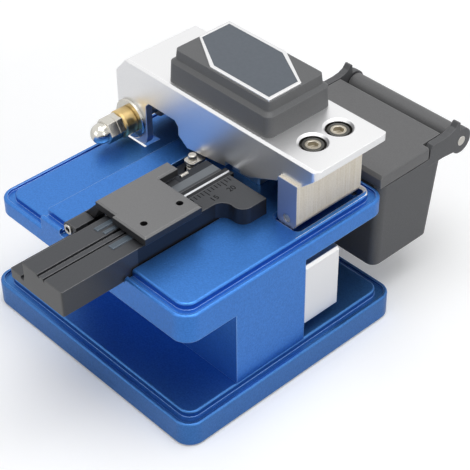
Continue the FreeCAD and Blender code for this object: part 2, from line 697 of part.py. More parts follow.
def build_v_groove():
    x0 = FIBRE_X - VGROOVE_W / 2
    x1 = FIBRE_X + VGROOVE_W / 2
    insert = box(x0, x1, VGROOVE_FRONT, TRAY_BACK + 1.2, TRAY_TOP - VGROOVE_DEPTH, TRAY_TOP)
    vee = prism([(FIBRE_X - 0.35, VGROOVE_FRONT - 1, TRAY_TOP + 0.01), (FIBRE_X + 0.35, VGROOVE_FRONT - 1,
                TRAY_TOP + 0.01), (FIBRE_X, VGROOVE_FRONT - 1, TRAY_TOP - 0.35)], (0, 30, 0))
    return insert.cut(vee)


def build_tray_screws():
    return [socket_screw((x, y, DECK_UNDER + TRAY_HEAD + 0.2), (0, 0, -1), TRAY_HEAD_R, TRAY_HEAD,
                         TRAY_SCREW_R - RUN_CLEARANCE, CHANNEL_FLOOR - DECK_UNDER - TRAY_HEAD + 2.6)
            for x, y in tray_screw_places()]


def build_tray_magnets():
    return [rod(1.5, (x, y, TRAY_TOP - 1.5), (0, 0, 1), 1.5) for x, y in magnet_places()]


def build_clamp_plate():
    z0 = TRAY_TOP + CLAMP_GAP
    z1 = z0 + CLAMP_THICK
    plate = box(CLAMP_X_LOW, CLAMP_X_HIGH, CLAMP_FRONT, CLAMP_BACK, z0, z1)
    plate = joined(plate, box(CLAMP_X_LOW, TAB_X_HIGH, CLAMP_BACK - 1, CLAMP_BACK + TAB_REACH, z0, z1))
    plate = plate.cut(box(CLAMP_X_LOW - 1, 3.5, CLAMP_FRONT - 1, CLAMP_FRONT + 0.8, z0 - 1, z1 + 1))
    plate = plate.makeChamfer(0.4, edges_at_height(plate, z1))
    for x, y in magnet_places():
        plate = plate.cut(rod(0.8, (x, y, z0 - 1), (0, 0, 1), 5))
    # Two arms go down over the tray's side to the knuckles on the pin
    for y0 in clamp_arm_places():
        ledge = CLAMP_PIVOT_X + CLAMP_KNUCKLE_R
        points = [(CLAMP_PIVOT_X - 1.2, CLAMP_PIVOT_Z), (CLAMP_PIVOT_X - 0.9, CLAMP_PIVOT_Z + 1.2),
                  (CLAMP_X_LOW, z0 + ARM_LAP), (CLAMP_X_LOW + 1.6, z0 + ARM_LAP), (CLAMP_X_LOW + 1.6, z0),
                  (CLAMP_X_LOW + 0.8, z0 - 0.4), (ledge + 0.9, CLAMP_PIVOT_Z + 2.0),
                  (ledge, CLAMP_PIVOT_Z + 0.8), (ledge, CLAMP_PIVOT_Z)]
        arm = prism([(x, y0, z) for x, z in points], (0, ARM_WIDTH, 0))
        knuckle = rod(CLAMP_KNUCKLE_R, (CLAMP_PIVOT_X, y0, CLAMP_PIVOT_Z), (0, 1, 0), ARM_WIDTH)
        arm = joined(arm, knuckle)
        plate = joined(plate, arm)
        plate = plate.cut(rod(CLAMP_PIN_R + RUN_CLEARANCE, (CLAMP_PIVOT_X, y0 - 1, CLAMP_PIVOT_Z), (0, 1, 0),
                              ARM_WIDTH + 2))
    return plate


def clamp_arm_places():
    return (CLAMP_FRONT + 1.0, CLAMP_BACK - ARM_WIDTH - 1.2)


def build_clamp_pin():
    y0 = TRAY_KNUCKLE_FRONT - CLAMP_PIN_PROUD
    length = TRAY_KNUCKLE_BACK - y0
    pin = rod(CLAMP_PIN_R, (CLAMP_PIVOT_X, y0, CLAMP_PIVOT_Z), (0, 1, 0), length)
    return pin.cut(rod(CLAMP_PIN_BORE, (CLAMP_PIVOT_X, y0 - 1, CLAMP_PIVOT_Z), (0, 1, 0), length + 2))


def build_clamp_pad():
    z0 = TRAY_TOP + 0.35
    return box(3.8, 8.4, CLAMP_FRONT + 7.0, CLAMP_BACK - 2.0, z0, TRAY_TOP + CLAMP_GAP)


def lid_wall(y, lower_edge):
    # One side wall of the lid: its lower edge is given, the bevelled upper outline is shared.
    upper_edge = [(LID_X_HIGH, LID_TOP), (LID_X_LOW + LID_BEVEL_X, LID_TOP),
                  (LID_X_LOW, LID_TOP - LID_BEVEL_Z)]
    return prism([(x, y, z) for x, z in lower_edge + upper_edge], (0, LID_FLANGE, 0))


def over_block():
    # The part of both lower edges that runs over the hinge block and up to the lid's right end.
    block = HINGE_X - HINGE_HALF_W
    return [(block - 1.2, BLOCK_TOP - 2.2), (block - 0.4, BLOCK_TOP),
            (HINGE_X + HINGE_HALF_W + 0.5, BLOCK_TOP), (LID_X_HIGH, LID_TOP - LID_SLAB)]


def front_edge():
    ear = LID_X_LOW + EAR_WIDTH
    r = EAR_RADIUS
    arc = [(r * (1 - math.cos(i * math.pi / 8)), r * (1 - math.sin(i * math.pi / 8))) for i in range(5)]
    left = [(LID_X_LOW + dx, EAR_BOTTOM + dz) for dx, dz in arc]
    right = [(ear - dx, EAR_BOTTOM + dz) for dx, dz in reversed(arc)]
    gate0 = FIBRE_X - FIBRE_GATE
    gate1 = FIBRE_X + FIBRE_GATE
    return left + right + [
        (ear, WINDOW_TOP - 1.2), (ear + 1.2, WINDOW_TOP), (WINDOW_X_HIGH - 1.2, WINDOW_TOP),
        (WINDOW_X_HIGH, WINDOW_TOP - 1.2), (WINDOW_X_HIGH, FLANGE_LOW + 2.1),
        (WINDOW_X_HIGH + 2.9, FLANGE_LOW), (gate0, FLANGE_LOW + 1.7), (gate0, FIBRE_GATE_TOP),
        (gate1, FIBRE_GATE_TOP), (gate1, FLANGE_LOW + 2.4),
        (gate1 + 2.9, FLANGE_LOW + 2.7)] + over_block()


def back_edge():
    ear = LID_X_LOW + EAR_WIDTH
    low = LOW_PANEL_TOP + 0.8
    return [(LID_X_LOW, low + 1.4), (LID_X_LOW + 1.4, low), (ear - 1.4, low), (ear, low + 1.4),
            (ear + 1.0, FLANGE_MID)] + [(HINGE_X - HINGE_HALF_W - 6.0, FLANGE_MID)] + over_block()


def build_lid_cover():
    y0 = LID_FRONT
    inside = LID_FLANGE * 0.9
    bevel = LID_X_LOW + LID_BEVEL_X
    outer = [(LID_X_LOW, LID_END_LOW), (LID_X_LOW, LID_TOP - LID_BEVEL_Z), (bevel, LID_TOP),
             (LID_X_HIGH, LID_TOP)]
    inner = [(LID_X_HIGH, LID_TOP - LID_SLAB), (bevel + 0.9, LID_TOP - LID_SLAB),
             (LID_X_LOW + inside, LID_TOP - LID_BEVEL_Z - 0.8), (LID_X_LOW + inside, LID_END_LOW)]
    slab = prism([(x, y0, z) for x, z in outer + inner], (0, LID_BACK - LID_FRONT, 0))
    back = lid_wall(LID_BACK - LID_FLANGE, back_edge())
    # Thickened fields inside: over the hinge block, and the bridge that guides the two clamps
    y1 = LID_FRONT + LID_FLANGE - 0.1
    y2 = LID_BACK - LID_FLANGE + 0.1
    under = LID_TOP - LID_SLAB + 0.1
    boss = box(BOSS_X_LOW, HINGE_X + HINGE_HALF_W, y1, y2, BOSS_LOW, under)
    bridge = box(FIBRE_X - BRIDGE_HALF_W, FIBRE_X + BRIDGE_HALF_W, y1, y2, BRIDGE_LOW, under)
    foot = PANEL_TOP + STOP_GAP + STOP_TIP
    post = rod(STOP_R, (STOP_X, STOP_Y, foot), (0, 0, 1), under - foot)
    lid = joined(slab, [lid_wall(LID_FRONT, front_edge()), back, boss, bridge, post])
    # Long top edges chamfered, then the right-hand corners rounded
    long_top = [e for e in edges_at_height(lid, LID_TOP)
                if abs(e.Vertexes[0].Point.y - e.Vertexes[-1].Point.y) < 1e-6 and e.Length > 20]
    lid = lid.makeChamfer(LID_CHAMFER, long_top)
    right = [e for e in lid.Edges if is_upright(e) and e.Vertexes[0].Point.x > LID_X_HIGH - 0.1
             and abs(e.Vertexes[0].Point.y - (LID_FRONT + LID_BACK) / 2) > 10]
    lid = lid.makeFillet(1.6, right)
    for y in LID_SCREW_YS:
        lid = lid.cut(rod(COUNTERBORE_R, (LID_SCREW_X, y, LID_TOP - COUNTERBORE_DEPTH), (0, 0, 1), 5))
        lid = lid.cut(rod(SCREW_R + SCREW_CLEARANCE, (LID_SCREW_X, y, BOSS_LOW - 1), (0, 0, 1), 6))
        mouth = Part.makeCone(COUNTERBORE_R, COUNTERBORE_R + 0.5, 0.5, V(LID_SCREW_X, y, LID_TOP - 0.5))
        lid = lid.cut(mouth)
    # Bores for the anvil shaft: through the front wall, blind in the back wall
    lid = lid.cut(rod(SHAFT_R, (SHAFT_X, LID_FRONT - 1, SHAFT_Z), (0, 1, 0), shaft_end() - LID_FRONT + 1))
    # Blind bores for the clamp stems
    for y in clamp_centres():
        lid = lid.cut(rod(STEM_R + RUN_CLEARANCE, (FIBRE_X, y, BRIDGE_LOW - 1), (0, 0, 1), STEM_REACH + 2.0))
    return lid


def shaft_end():
    return LID_BACK - LID_FLANGE * 0.4


def build_stop_tip():
    return rod(STOP_R, (STOP_X, STOP_Y, PANEL_TOP + STOP_GAP), (0, 0, 1), STOP_TIP)


def clamp_centres():
    return (BLADE_Y - CLAMP_OFFSET, BLADE_Y + CLAMP_OFFSET)


def build_lid_screws():
    z = LID_TOP - COUNTERBORE_DEPTH
    return [socket_screw((LID_SCREW_X, y, z), (0, 0, 1), SCREW_HEAD_R, 2.0, SCREW_R - RUN_CLEARANCE, 5.6)
            for y in LID_SCREW_YS]


def build_hinge_block():
    x0 = HINGE_X - HINGE_HALF_W
    x1 = HINGE_X + HINGE_HALF_W
    length = HINGE_BACK - HINGE_FRONT
    leg = box(x0, x1, HINGE_FRONT, HINGE_BACK, HINGE_Z - HINGE_TAIL, BLOCK_TOP)
    low = [e for e in edges_at_height(leg, HINGE_Z - HINGE_TAIL)
           if abs(e.Vertexes[0].Point.x - e.Vertexes[-1].Point.x) < 1e-6]
    leg = leg.makeFillet(HINGE_TAIL_R, low)
    relief = prism([(x1 + 1, HINGE_FRONT - 1, HINGE_Z - HINGE_RELIEF_TOP),
                    (x1, HINGE_FRONT - 1, HINGE_Z - HINGE_RELIEF_TOP),
                    (x1 - HINGE_RELIEF_X, HINGE_FRONT - 1, HINGE_Z - HINGE_TAIL),
                    (x1 - HINGE_RELIEF_X, HINGE_FRONT - 1, HINGE_Z - HINGE_TAIL - 1),
                    (x1 + 1, HINGE_FRONT - 1, HINGE_Z - HINGE_TAIL - 1)], (0, length + 2, 0))
    leg = leg.cut(relief)
    neck = box(x0, x1, HINGE_FRONT + NECK_INSET, HINGE_BACK, BLOCK_TOP - 1, BOSS_LOW)
    block = joined(leg, neck)
    # Room for the frame's lug, which stays behind the right-hand skin
    y0 = HINGE_FRONT + HINGE_EAR
    y1 = HINGE_BACK - HINGE_EAR
    block = block.cut(box(x0 - 1, x1 - HINGE_SKIN, y0, y1, 0, HINGE_Z + LUG_R + SWING_CLEARANCE))
    bore = rod(HINGE_PIN_R + RUN_CLEARANCE, (HINGE_X, HINGE_FRONT - 1, HINGE_Z), (0, 1, 0), length + 2)
    block = block.cut(bore)
    for y in LID_SCREW_YS:
        block = block.cut(rod(SCREW_R, (LID_SCREW_X, y, BOSS_LOW - 5.0), (0, 0, 1), 6))
    return block


def build_hinge_pin():
    return rod(HINGE_PIN_R, (HINGE_X, HINGE_FRONT + 0.2, HINGE_Z), (0, 1, 0), HINGE_BACK - HINGE_FRONT - 0.4)


def pad_wire(inset, z):
    flat = rounded_box(PAD_X_LOW + inset, PAD_X_HIGH - inset, PAD_FRONT + inset, PAD_BACK - inset, z, z + 1,
                       PAD_CORNER_R - inset * 0.5)
    face = [f for f in flat.Faces if abs(f.CenterOfMass.z - z) < 1e-6][0]
    return face.OuterWire


def pad_top():
    return LID_TOP + PAD_LOWER + PAD_SLOPE + PAD_UPPER


def build_grip_pad():
    # Three tiers: a tall foot, a sloping ledge and a low crown, each lofted between two outlines.
    z1 = LID_TOP + PAD_LOWER
    z2 = z1 + PAD_SLOPE
    insets = (0, PAD_TAPER, PAD_TAPER + PAD_STEP, PAD_TAPER * 2 + PAD_STEP)
    levels = (LID_TOP, z1, z2, pad_top())
    tiers = []
    for i in range(3):
        rings = [pad_wire(insets[i], levels[i]), pad_wire(insets[i + 1], levels[i + 1])]
        tiers.append(Part.makeLoft(rings, True, True))
    return tiers[0].fuse(tiers[1:]).removeSplitter()


def badge_outline(inset, z, height):
    # A rectangle with its front-left and back-right corners cut off at a slant.
    edge = PAD_TAPER * 2 + PAD_STEP + BADGE_MARGIN + inset
    x0 = PAD_X_LOW + edge
    x1 = PAD_X_HIGH - edge
    y0 = PAD_FRONT + edge
    y1 = PAD_BACK - edge
    cut = BADGE_CUT_X - inset * 0.5
    deep = y1 - y0
    points = [(x0, y0 + deep * BADGE_CUT_FRONT), (x0 + cut, y0), (x1, y0), (x1, y0 + deep * BADGE_CUT_BACK),
              (x1 - cut, y1), (x0, y1)]
    return prism([(x, y, z) for x, y in points], (0, 0, height))


def build_badge_rim():
    z = pad_top()
    return badge_outline(0, z, BADGE_THICK).cut(badge_outline(RIM_WIDTH, z - 1, BADGE_THICK + 2))


def build_badge_plate():
    return badge_outline(RIM_WIDTH, pad_top(), BADGE_THICK - 0.15)


def build_anvil_shaft():
    start = LID_FRONT - WASHER_THICK - BUSH_LENGTH - THIN_NUT_THICK - 1.0
    return rod(SHAFT_R, (SHAFT_X, start, SHAFT_Z), (0, 1, 0), shaft_end() - start)


def build_large_washer():
    y = LID_FRONT - WASHER_THICK
    washer = rod(WASHER_R, (SHAFT_X, y, SHAFT_Z), (0, 1, 0), WASHER_THICK)
    washer = washer.makeChamfer(0.2, [e for e in washer.Edges if e.Curve.TypeId == "Part::GeomCircle"])
    return washer.cut(rod(SHAFT_R, (SHAFT_X, y - 1, SHAFT_Z), (0, 1, 0), 4))


def build_brass_bush():
    y = LID_FRONT - WASHER_THICK - BUSH_LENGTH
    bush = rod(BUSH_R, (SHAFT_X, y, SHAFT_Z), (0, 1, 0), BUSH_LENGTH)
    bush = bush.makeChamfer(0.3, [e for e in bush.Edges if e.Curve.TypeId == "Part::GeomCircle"])
    return bush.cut(rod(SHAFT_R, (SHAFT_X, y - 1, SHAFT_Z), (0, 1, 0), BUSH_LENGTH + 2))


def build_thin_nut():
    y = LID_FRONT - WASHER_THICK - BUSH_LENGTH - THIN_NUT_THICK
    nut = hexagon(THIN_NUT_AF, (SHAFT_X, y, SHAFT_Z), (0, 1, 0), THIN_NUT_THICK)
    return nut.cut(rod(SHAFT_R, (SHAFT_X, y - 1, SHAFT_Z), (0, 1, 0), THIN_NUT_THICK + 2))


def build_acorn_nut():
    y = LID_FRONT - WASHER_THICK - BUSH_LENGTH - THIN_NUT_THICK
    nut = hexagon(ACORN_AF, (SHAFT_X, y - ACORN_HEX, SHAFT_Z), (0, 1, 0), ACORN_HEX)
    dome = Part.makeSphere(ACORN_DOME_R, V(SHAFT_X, y - ACORN_HEX - 0.9, SHAFT_Z))
    neck = rod(ACORN_DOME_R, (SHAFT_X, y - ACORN_HEX - 0.9, SHAFT_Z), (0, 1, 0), 0.9)
    front = box(SHAFT_X - 5, SHAFT_X + 5, y - 12, y - ACORN_HEX - 0.9, SHAFT_Z - 5, SHAFT_Z + 5)
    nut = joined(nut, [neck, dome.common(front)])
    return nut.cut(rod(SHAFT_R, (SHAFT_X, y - 1.0, SHAFT_Z), (0, 1, 0), 3))


def build_anvil_arm():
    # A rocking arm on the shaft, with a boss at its root and a thin nose over the blade.
    y0 = BLADE_Y - ARM_THICK / 2
    profile = [(SHAFT_X, SHAFT_Z - ARM_BOSS_R + 0.2), (SHAFT_X + 6, SHAFT_Z - 1.4),
               (SHAFT_X + 10.5, ARM_UNDER + 0.6),
               (FIBRE_X - 2.2, ARM_UNDER + 0.6), (FIBRE_X + 2.2, ARM_UNDER + 0.6),
               (FIBRE_X + 3.4, ARM_UNDER + 1.8), (FIBRE_X + 3.4, ARM_TOP - 1.0), (FIBRE_X + 1.6, ARM_TOP),
               (SHAFT_X + 9, ARM_TOP), (SHAFT_X, SHAFT_Z + ARM_BOSS_R - 0.2)]
    arm = prism([(x, y0, z) for x, z in profile], (0, ARM_THICK, 0))
    boss = rod(ARM_BOSS_R, (SHAFT_X, BLADE_Y - 4.0, SHAFT_Z), (0, 1, 0), 8.0)
    arm = joined(arm, boss)
    arm = arm.cut(rod(SHAFT_R + RUN_CLEARANCE, (SHAFT_X, 0, SHAFT_Z), (0, 1, 0), 40))
    for i in range(3):
        arm = arm.cut(rod(1.3, (SHAFT_X + 14 + i * 6, y0 - 1, (ARM_UNDER + ARM_TOP) / 2 + 0.3), (0, 1, 0), 4))
    return arm


def build_anvil_tip():
    return box(FIBRE_X - 1.6, FIBRE_X + 1.6, BLADE_Y - ARM_THICK / 2, BLADE_Y + ARM_THICK / 2,
               ARM_UNDER, ARM_UNDER + 0.6)


def build_anvil_spring():
    # A few turns of spring wire round the shaft, beside the arm's boss.
    spring = coil(0, 0, 0, 3.0, SHAFT_R + 0.75, 0.35, 2.5)
    spring.rotate(V(0, 0, 0), V(1, 0, 0), -90)
    spring.translate(V(SHAFT_X, BLADE_Y + 4.25, SHAFT_Z))
    return spring


def build_shaft_collars():
    collars = []
    for y in (LID_FRONT + LID_FLANGE + 0.2, LID_BACK - LID_FLANGE - 1.3):
        ring = rod(2.6, (SHAFT_X, y, SHAFT_Z), (0, 1, 0), 1.1)
        collars.append(ring.cut(rod(SHAFT_R, (SHAFT_X, y - 1, SHAFT_Z), (0, 1, 0), 4)))
    return collars


def lower_top():
    return TRAY_TOP - FIBRE_GAP / 2


def build_lower_clamp(y):
    x0 = FIBRE_X - CLAMP_BLOCK_W / 2
    x1 = FIBRE_X + CLAMP_BLOCK_W / 2
    z1 = lower_top() - LOWER_PAD
    block = box(x0, x1, y - CLAMP_BLOCK_D / 2, y + CLAMP_BLOCK_D / 2, PANEL_TOP, z1)
    block = block.makeChamfer(0.4, [e for e in block.Edges if is_upright(e)])
    for x in (x0 + 1.8, x1 - 1.8):
        block = block.cut(rod(0.8, (x, y, z1 - 1.2), (0, 0, 1), 3))
    return block


def jaw_pad(y, z0, thick):
    half = CLAMP_BLOCK_D / 2 - JAW_PAD_MARGIN
    return box(FIBRE_X - JAW_PAD_HALF_W, FIBRE_X + JAW_PAD_HALF_W, y - half, y + half, z0, z0 + thick)


def build_clamp_pads(z0, thick):
    pads = []
    for y in clamp_centres():
        pads.append(jaw_pad(y, z0, thick))
    return pads


def upper_low():
    return TRAY_TOP + FIBRE_GAP / 2 + UPPER_PAD


def build_upper_clamp(y):
    x0 = FIBRE_X - CLAMP_BLOCK_W / 2
    x1 = FIBRE_X + CLAMP_BLOCK_W / 2
    z0 = upper_low()
    block = box(x0, x1, y - CLAMP_BLOCK_D / 2, y + CLAMP_BLOCK_D / 2, z0, z0 + UPPER_BLOCK)
    block = block.makeChamfer(0.4, [e for e in block.Edges if is_upright(e)])
    stem = rod(STEM_R, (FIBRE_X, y, z0 + 1), (0, 0, 1), BRIDGE_LOW + STEM_REACH - z0 - 1)
    return joined(block, stem)


def build_upper_pad(y):
    return jaw_pad(y, TRAY_TOP + FIBRE_GAP / 2, UPPER_PAD)


def build_clamp_spring(y):
    return coil(FIBRE_X, y, upper_low() + UPPER_BLOCK, BRIDGE_LOW, STEM_R + 0.45, 0.22, 3)


def bin_section(z):
    # The bin's outline at one height: the front stands straight and the back leans out towards the top.
    t = (z - BIN_LOW) / (BIN_HIGH - BIN_LOW)
    side = BIN_TAPER * (1 - t)
    back = BIN_BACK_LOW + (BIN_BACK_HIGH - BIN_BACK_LOW) * t
    return BIN_X_LOW + side, BIN_X_HIGH - side * 0.5, BIN_FRONT, back


def bin_wire(z, inset):
    x0, x1, y0, y1 = bin_section(z)
    flat = rounded_box(x0 + inset, x1 - inset, y0 + inset, y1 - inset, z, z + 1, BIN_CORNER_R - inset * 0.9)
    face = [f for f in flat.Faces if abs(f.CenterOfMass.z - z) < 1e-6][0]
    return face.OuterWire


def build_bin_box():
    shell = Part.makeLoft([bin_wire(BIN_LOW, 0), bin_wire(BIN_HIGH, 0)], True, True)
    inside = [bin_wire(BIN_LOW + BIN_WALL, BIN_WALL), bin_wire(BIN_HIGH + 1, BIN_WALL)]
    hollow = Part.makeLoft(inside, True, True)
    shell = shell.cut(hollow)
    # Raised cheeks at both sides of the rear, rounded about the pin that carries the lid
    for x in bin_ear_places():
        drop = BIN_EAR_R * math.sin(math.radians(40))
        reach = BIN_EAR_R * math.cos(math.radians(40))
        front = BIN_SKIRT_BACK + BIN_LID_SEAM
        horn = BIN_PIVOT_Y - HORN_BACK
        rise = HORN_TOP - BIN_LID_TOP
        cheek = prism([(x, front, BIN_HIGH - 2.0), (x, front + CHEEK_LEAN, BIN_LID_TOP - 1.0),
                       (x, front + CHEEK_LEAN + 0.8, BIN_LID_TOP),
                       (x, horn - HORN_SWEEP, BIN_LID_TOP),
                       (x, horn - HORN_SWEEP * 0.6, BIN_LID_TOP + rise * 0.13),
                       (x, horn - HORN_SWEEP * 0.3, BIN_LID_TOP + rise * 0.45),
                       (x, horn - HORN_THICK, HORN_TOP), (x, horn, HORN_TOP - 0.2),
                       (x, horn + 0.3, BIN_PIVOT_Z + BIN_EAR_R - 0.1),
                       (x, BIN_PIVOT_Y + reach * 0.7, BIN_PIVOT_Z + drop),
                       (x, BIN_PIVOT_Y, BIN_PIVOT_Z), (x, BIN_PIVOT_Y - reach, BIN_PIVOT_Z - drop),
                       (x, BIN_BACK_HIGH - 0.2, BIN_HIGH - 2.0)], (BIN_EAR, 0, 0))
        cheek = joined(cheek, rod(BIN_EAR_R, (x, BIN_PIVOT_Y, BIN_PIVOT_Z), (1, 0, 0), BIN_EAR))
        shell = joined(shell, cheek.cut(hollow))
    shell = shell.cut(rod(BIN_PIN_R, (BIN_X_LOW - 5, BIN_PIVOT_Y, BIN_PIVOT_Z), (1, 0, 0), 60))
    for x in bin_screw_places():
        shell = shell.cut(rod(BIN_SCREW_R + SCREW_CLEARANCE, (x, BIN_FRONT - 1, BIN_SCREW_Z), (0, 1, 0), 4))
    return shell


def bin_ear_places():
    return (BIN_X_LOW, BIN_X_HIGH - BIN_EAR)


def bin_screw_places():
    return (-2.0, 25.0)


def build_bin_bracket():
    # A thin plate between the deck's rear edge and the bin's front wall.
    hd = DECK_D / 2
    plate = box(BIN_X_LOW + 2.6, BIN_X_HIGH - 1.6, hd, BIN_FRONT, BIN_SCREW_Z - 4.0, BIN_HIGH)
    upright = [e for e in plate.Edges if abs(e.Vertexes[0].Point.y - e.Vertexes[-1].Point.y) > 0.1]
    plate = plate.makeFillet(1.0, upright)
    for x in bin_screw_places():
        plate = plate.cut(rod(BIN_SCREW_R + SCREW_CLEARANCE, (x, hd - 1, BIN_SCREW_Z), (0, 1, 0), 4))
    return plate


def build_bin_screws():
    y = BIN_FRONT + BIN_WALL
    return [socket_screw((x, y, BIN_SCREW_Z), (0, 1, 0), 1.7, 1.1, BIN_SCREW_R - RUN_CLEARANCE,
                         y - DECK_D / 2 + BIN_SCREW_SHANK) for x in bin_screw_places()]


def build_bin_lid():
    z0 = BIN_HIGH + BIN_LID_SEAM
    x0 = BIN_X_LOW
    x1 = BIN_X_HIGH
    gap = BIN_EAR + SWING_CLEARANCE
    # The cap with its side skirts, hollow below
    cap = prism([(x0, BIN_FRONT, z0), (x0, BIN_FRONT, BIN_LID_TOP - 0.8), (x0, BIN_FRONT + 0.8, BIN_LID_TOP),
                 (x0, BIN_SKIRT_BACK, BIN_LID_TOP), (x0, BIN_SKIRT_BACK, z0)], (x1 - x0, 0, 0))
    side = [e for e in cap.Edges if abs(e.Vertexes[0].Point.x - e.Vertexes[-1].Point.x) < 1e-6
            and min(v.Point.z for v in e.Vertexes) > BIN_LID_TOP - 0.1]
    cap = cap.makeFillet(0.6, side)
    cap = cap.cut(box(x0 + BIN_WALL, x1 - BIN_WALL, BIN_FRONT + BIN_WALL, BIN_SKIRT_BACK + 1, z0 - 1,
                      BIN_LID_TOP - BIN_WALL))
    # The narrower rear panel between the bin's cheeks, a web below it and the hinge tube
    panel = box(x0 + gap, x1 - gap, BIN_SKIRT_BACK - 1, BIN_PANEL_BACK, BIN_LID_TOP - BIN_WALL, BIN_LID_TOP)
    under = BIN_LID_TOP - BIN_WALL
    bent = [(BIN_PANEL_BACK - 3.0, under + 0.2), (BIN_PANEL_BACK - 0.2, under + 0.2),
            (BIN_PANEL_BACK + 0.9, under - 1.1), (BIN_PIVOT_Y - 1.5, BIN_PIVOT_Z + WEB_THICK / 2),
            (BIN_PIVOT_Y - 1.5, BIN_PIVOT_Z - WEB_THICK / 2), (BIN_PANEL_BACK + 0.3, z0 + 0.1),
            (BIN_PANEL_BACK - 1.6, z0 + 0.5)]
    web = prism([(x0 + gap, y, z) for y, z in bent], (x1 - x0 - 2 * gap, 0, 0))
    tube = rod(BIN_TUBE_R, (x0 + gap, BIN_PIVOT_Y, BIN_PIVOT_Z), (1, 0, 0), x1 - x0 - 2 * gap)
    lid = joined(cap, [panel, web, tube])
    lid = lid.cut(rod(BIN_PIN_R + RUN_CLEARANCE, (x0 - 1, BIN_PIVOT_Y, BIN_PIVOT_Z), (1, 0, 0), 60))
    # Gate for the fibre's scrap end, on the fibre line
    return lid.cut(box(FIBRE_X - 4, FIBRE_X + 4, BIN_FRONT - 1, BIN_FRONT + 6.5, z0 + 1.2, BIN_LID_TOP + 1))


def build_bin_pin():
    length = BIN_X_HIGH - BIN_X_LOW + 0.2
    return rod(BIN_PIN_R, (BIN_X_LOW - 0.1, BIN_PIVOT_Y, BIN_PIVOT_Z), (1, 0, 0), length)


def export(name, solids):
    shape = solids if not isinstance(solids, list) else Part.makeCompound(solids)
    shape.exportStep("parts/" + name + ".step")
    volume = sum(s.Volume for s in shape.Solids)
    state = "valid" if shape.isValid() else "INVALID"
    print(name, len(shape.Solids), "solids", round(volume, 1), "mm3", state)


def main():
    os.makedirs("parts", exist_ok=True)
    front, rear = clamp_centres()
    nodes = {
        "base_plate": build_base_plate(),
        "base_mat": build_base_mat(),
        "frame_screws": build_frame_screws(),
        "main_frame": build_main_frame(),
        "guide_rail": build_guide_rail(),
        "rail_screws": build_rail_screws(),
        "catch_magnet": build_catch_magnet(),
        "lift_pin": build_lift_pin(),
        "lift_spring": build_lift_spring(),
        "slider_carriage": build_slider_carriage(),
        "blade_holder": build_blade_holder(),
        "holder_screws": build_holder_screws(),
        "blade_arbor": build_blade_arbor(),
        "blade_wheel": build_blade_wheel(),
        "fibre_tray": build_fibre_tray(),
        "tray_screws": build_tray_screws(),
        "tray_magnets": build_tray_magnets(),
        "guide_pads": build_guide_pads(),
        "v_groove_insert": build_v_groove(),
        "clamp_plate": build_clamp_plate(),
        "clamp_hinge_pin": build_clamp_pin(),
        "clamp_plate_pad": build_clamp_pad(),
        "lid_cover": build_lid_cover(),
        "lid_screws": build_lid_screws(),
        "stop_tip": build_stop_tip(),
        "hinge_block": build_hinge_block(),
        "hinge_pin": build_hinge_pin(),
        "grip_pad": build_grip_pad(),
        "badge_rim": build_badge_rim(),
        "badge_plate": build_badge_plate(),
        "anvil_shaft": build_anvil_shaft(),
        "large_washer": build_large_washer(),
        "brass_bush": build_brass_bush(),
        "thin_nut": build_thin_nut(),
        "acorn_nut": build_acorn_nut(),
        "anvil_arm": build_anvil_arm(),
        "anvil_tip": build_anvil_tip(),
        "anvil_spring": build_anvil_spring(),
        "shaft_collars": build_shaft_collars(),
        "lower_clamp_front": build_lower_clamp(front),
        "lower_clamp_rear": build_lower_clamp(rear),
        "lower_clamp_pads": build_clamp_pads(lower_top() - LOWER_PAD, LOWER_PAD),
        "upper_clamp_front": build_upper_clamp(front),
        "upper_clamp_rear": build_upper_clamp(rear),
        "upper_pad_front": build_upper_pad(front),
        "upper_pad_rear": build_upper_pad(rear),
        "clamp_spring_front": build_clamp_spring(front),
        "clamp_spring_rear": build_clamp_spring(rear),
        "bin_box": build_bin_box(),
        "bin_bracket": build_bin_bracket(),
        "bin_screws": build_bin_screws(),
        "bin_lid": build_bin_lid(),
        "bin_pin": build_bin_pin(),
    }
    for name, solids in nodes.items():
        export(name, solids)


main()
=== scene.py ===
import math
import bmesh
import bpy
from mathutils import Matrix, Vector


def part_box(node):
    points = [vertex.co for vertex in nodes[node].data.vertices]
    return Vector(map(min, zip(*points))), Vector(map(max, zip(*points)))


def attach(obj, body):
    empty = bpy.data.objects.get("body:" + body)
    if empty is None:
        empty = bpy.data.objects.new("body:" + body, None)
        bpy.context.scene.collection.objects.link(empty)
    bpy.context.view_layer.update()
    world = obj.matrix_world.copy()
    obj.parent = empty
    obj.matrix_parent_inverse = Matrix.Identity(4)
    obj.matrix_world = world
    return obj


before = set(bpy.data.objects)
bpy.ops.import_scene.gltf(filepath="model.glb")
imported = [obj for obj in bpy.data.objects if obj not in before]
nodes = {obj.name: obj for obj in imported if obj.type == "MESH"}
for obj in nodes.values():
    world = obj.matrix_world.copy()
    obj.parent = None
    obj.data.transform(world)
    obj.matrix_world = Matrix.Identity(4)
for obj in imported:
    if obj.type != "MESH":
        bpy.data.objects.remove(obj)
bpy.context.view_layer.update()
scene = bpy.context.scene
scene.view_settings.view_transform = "Standard"

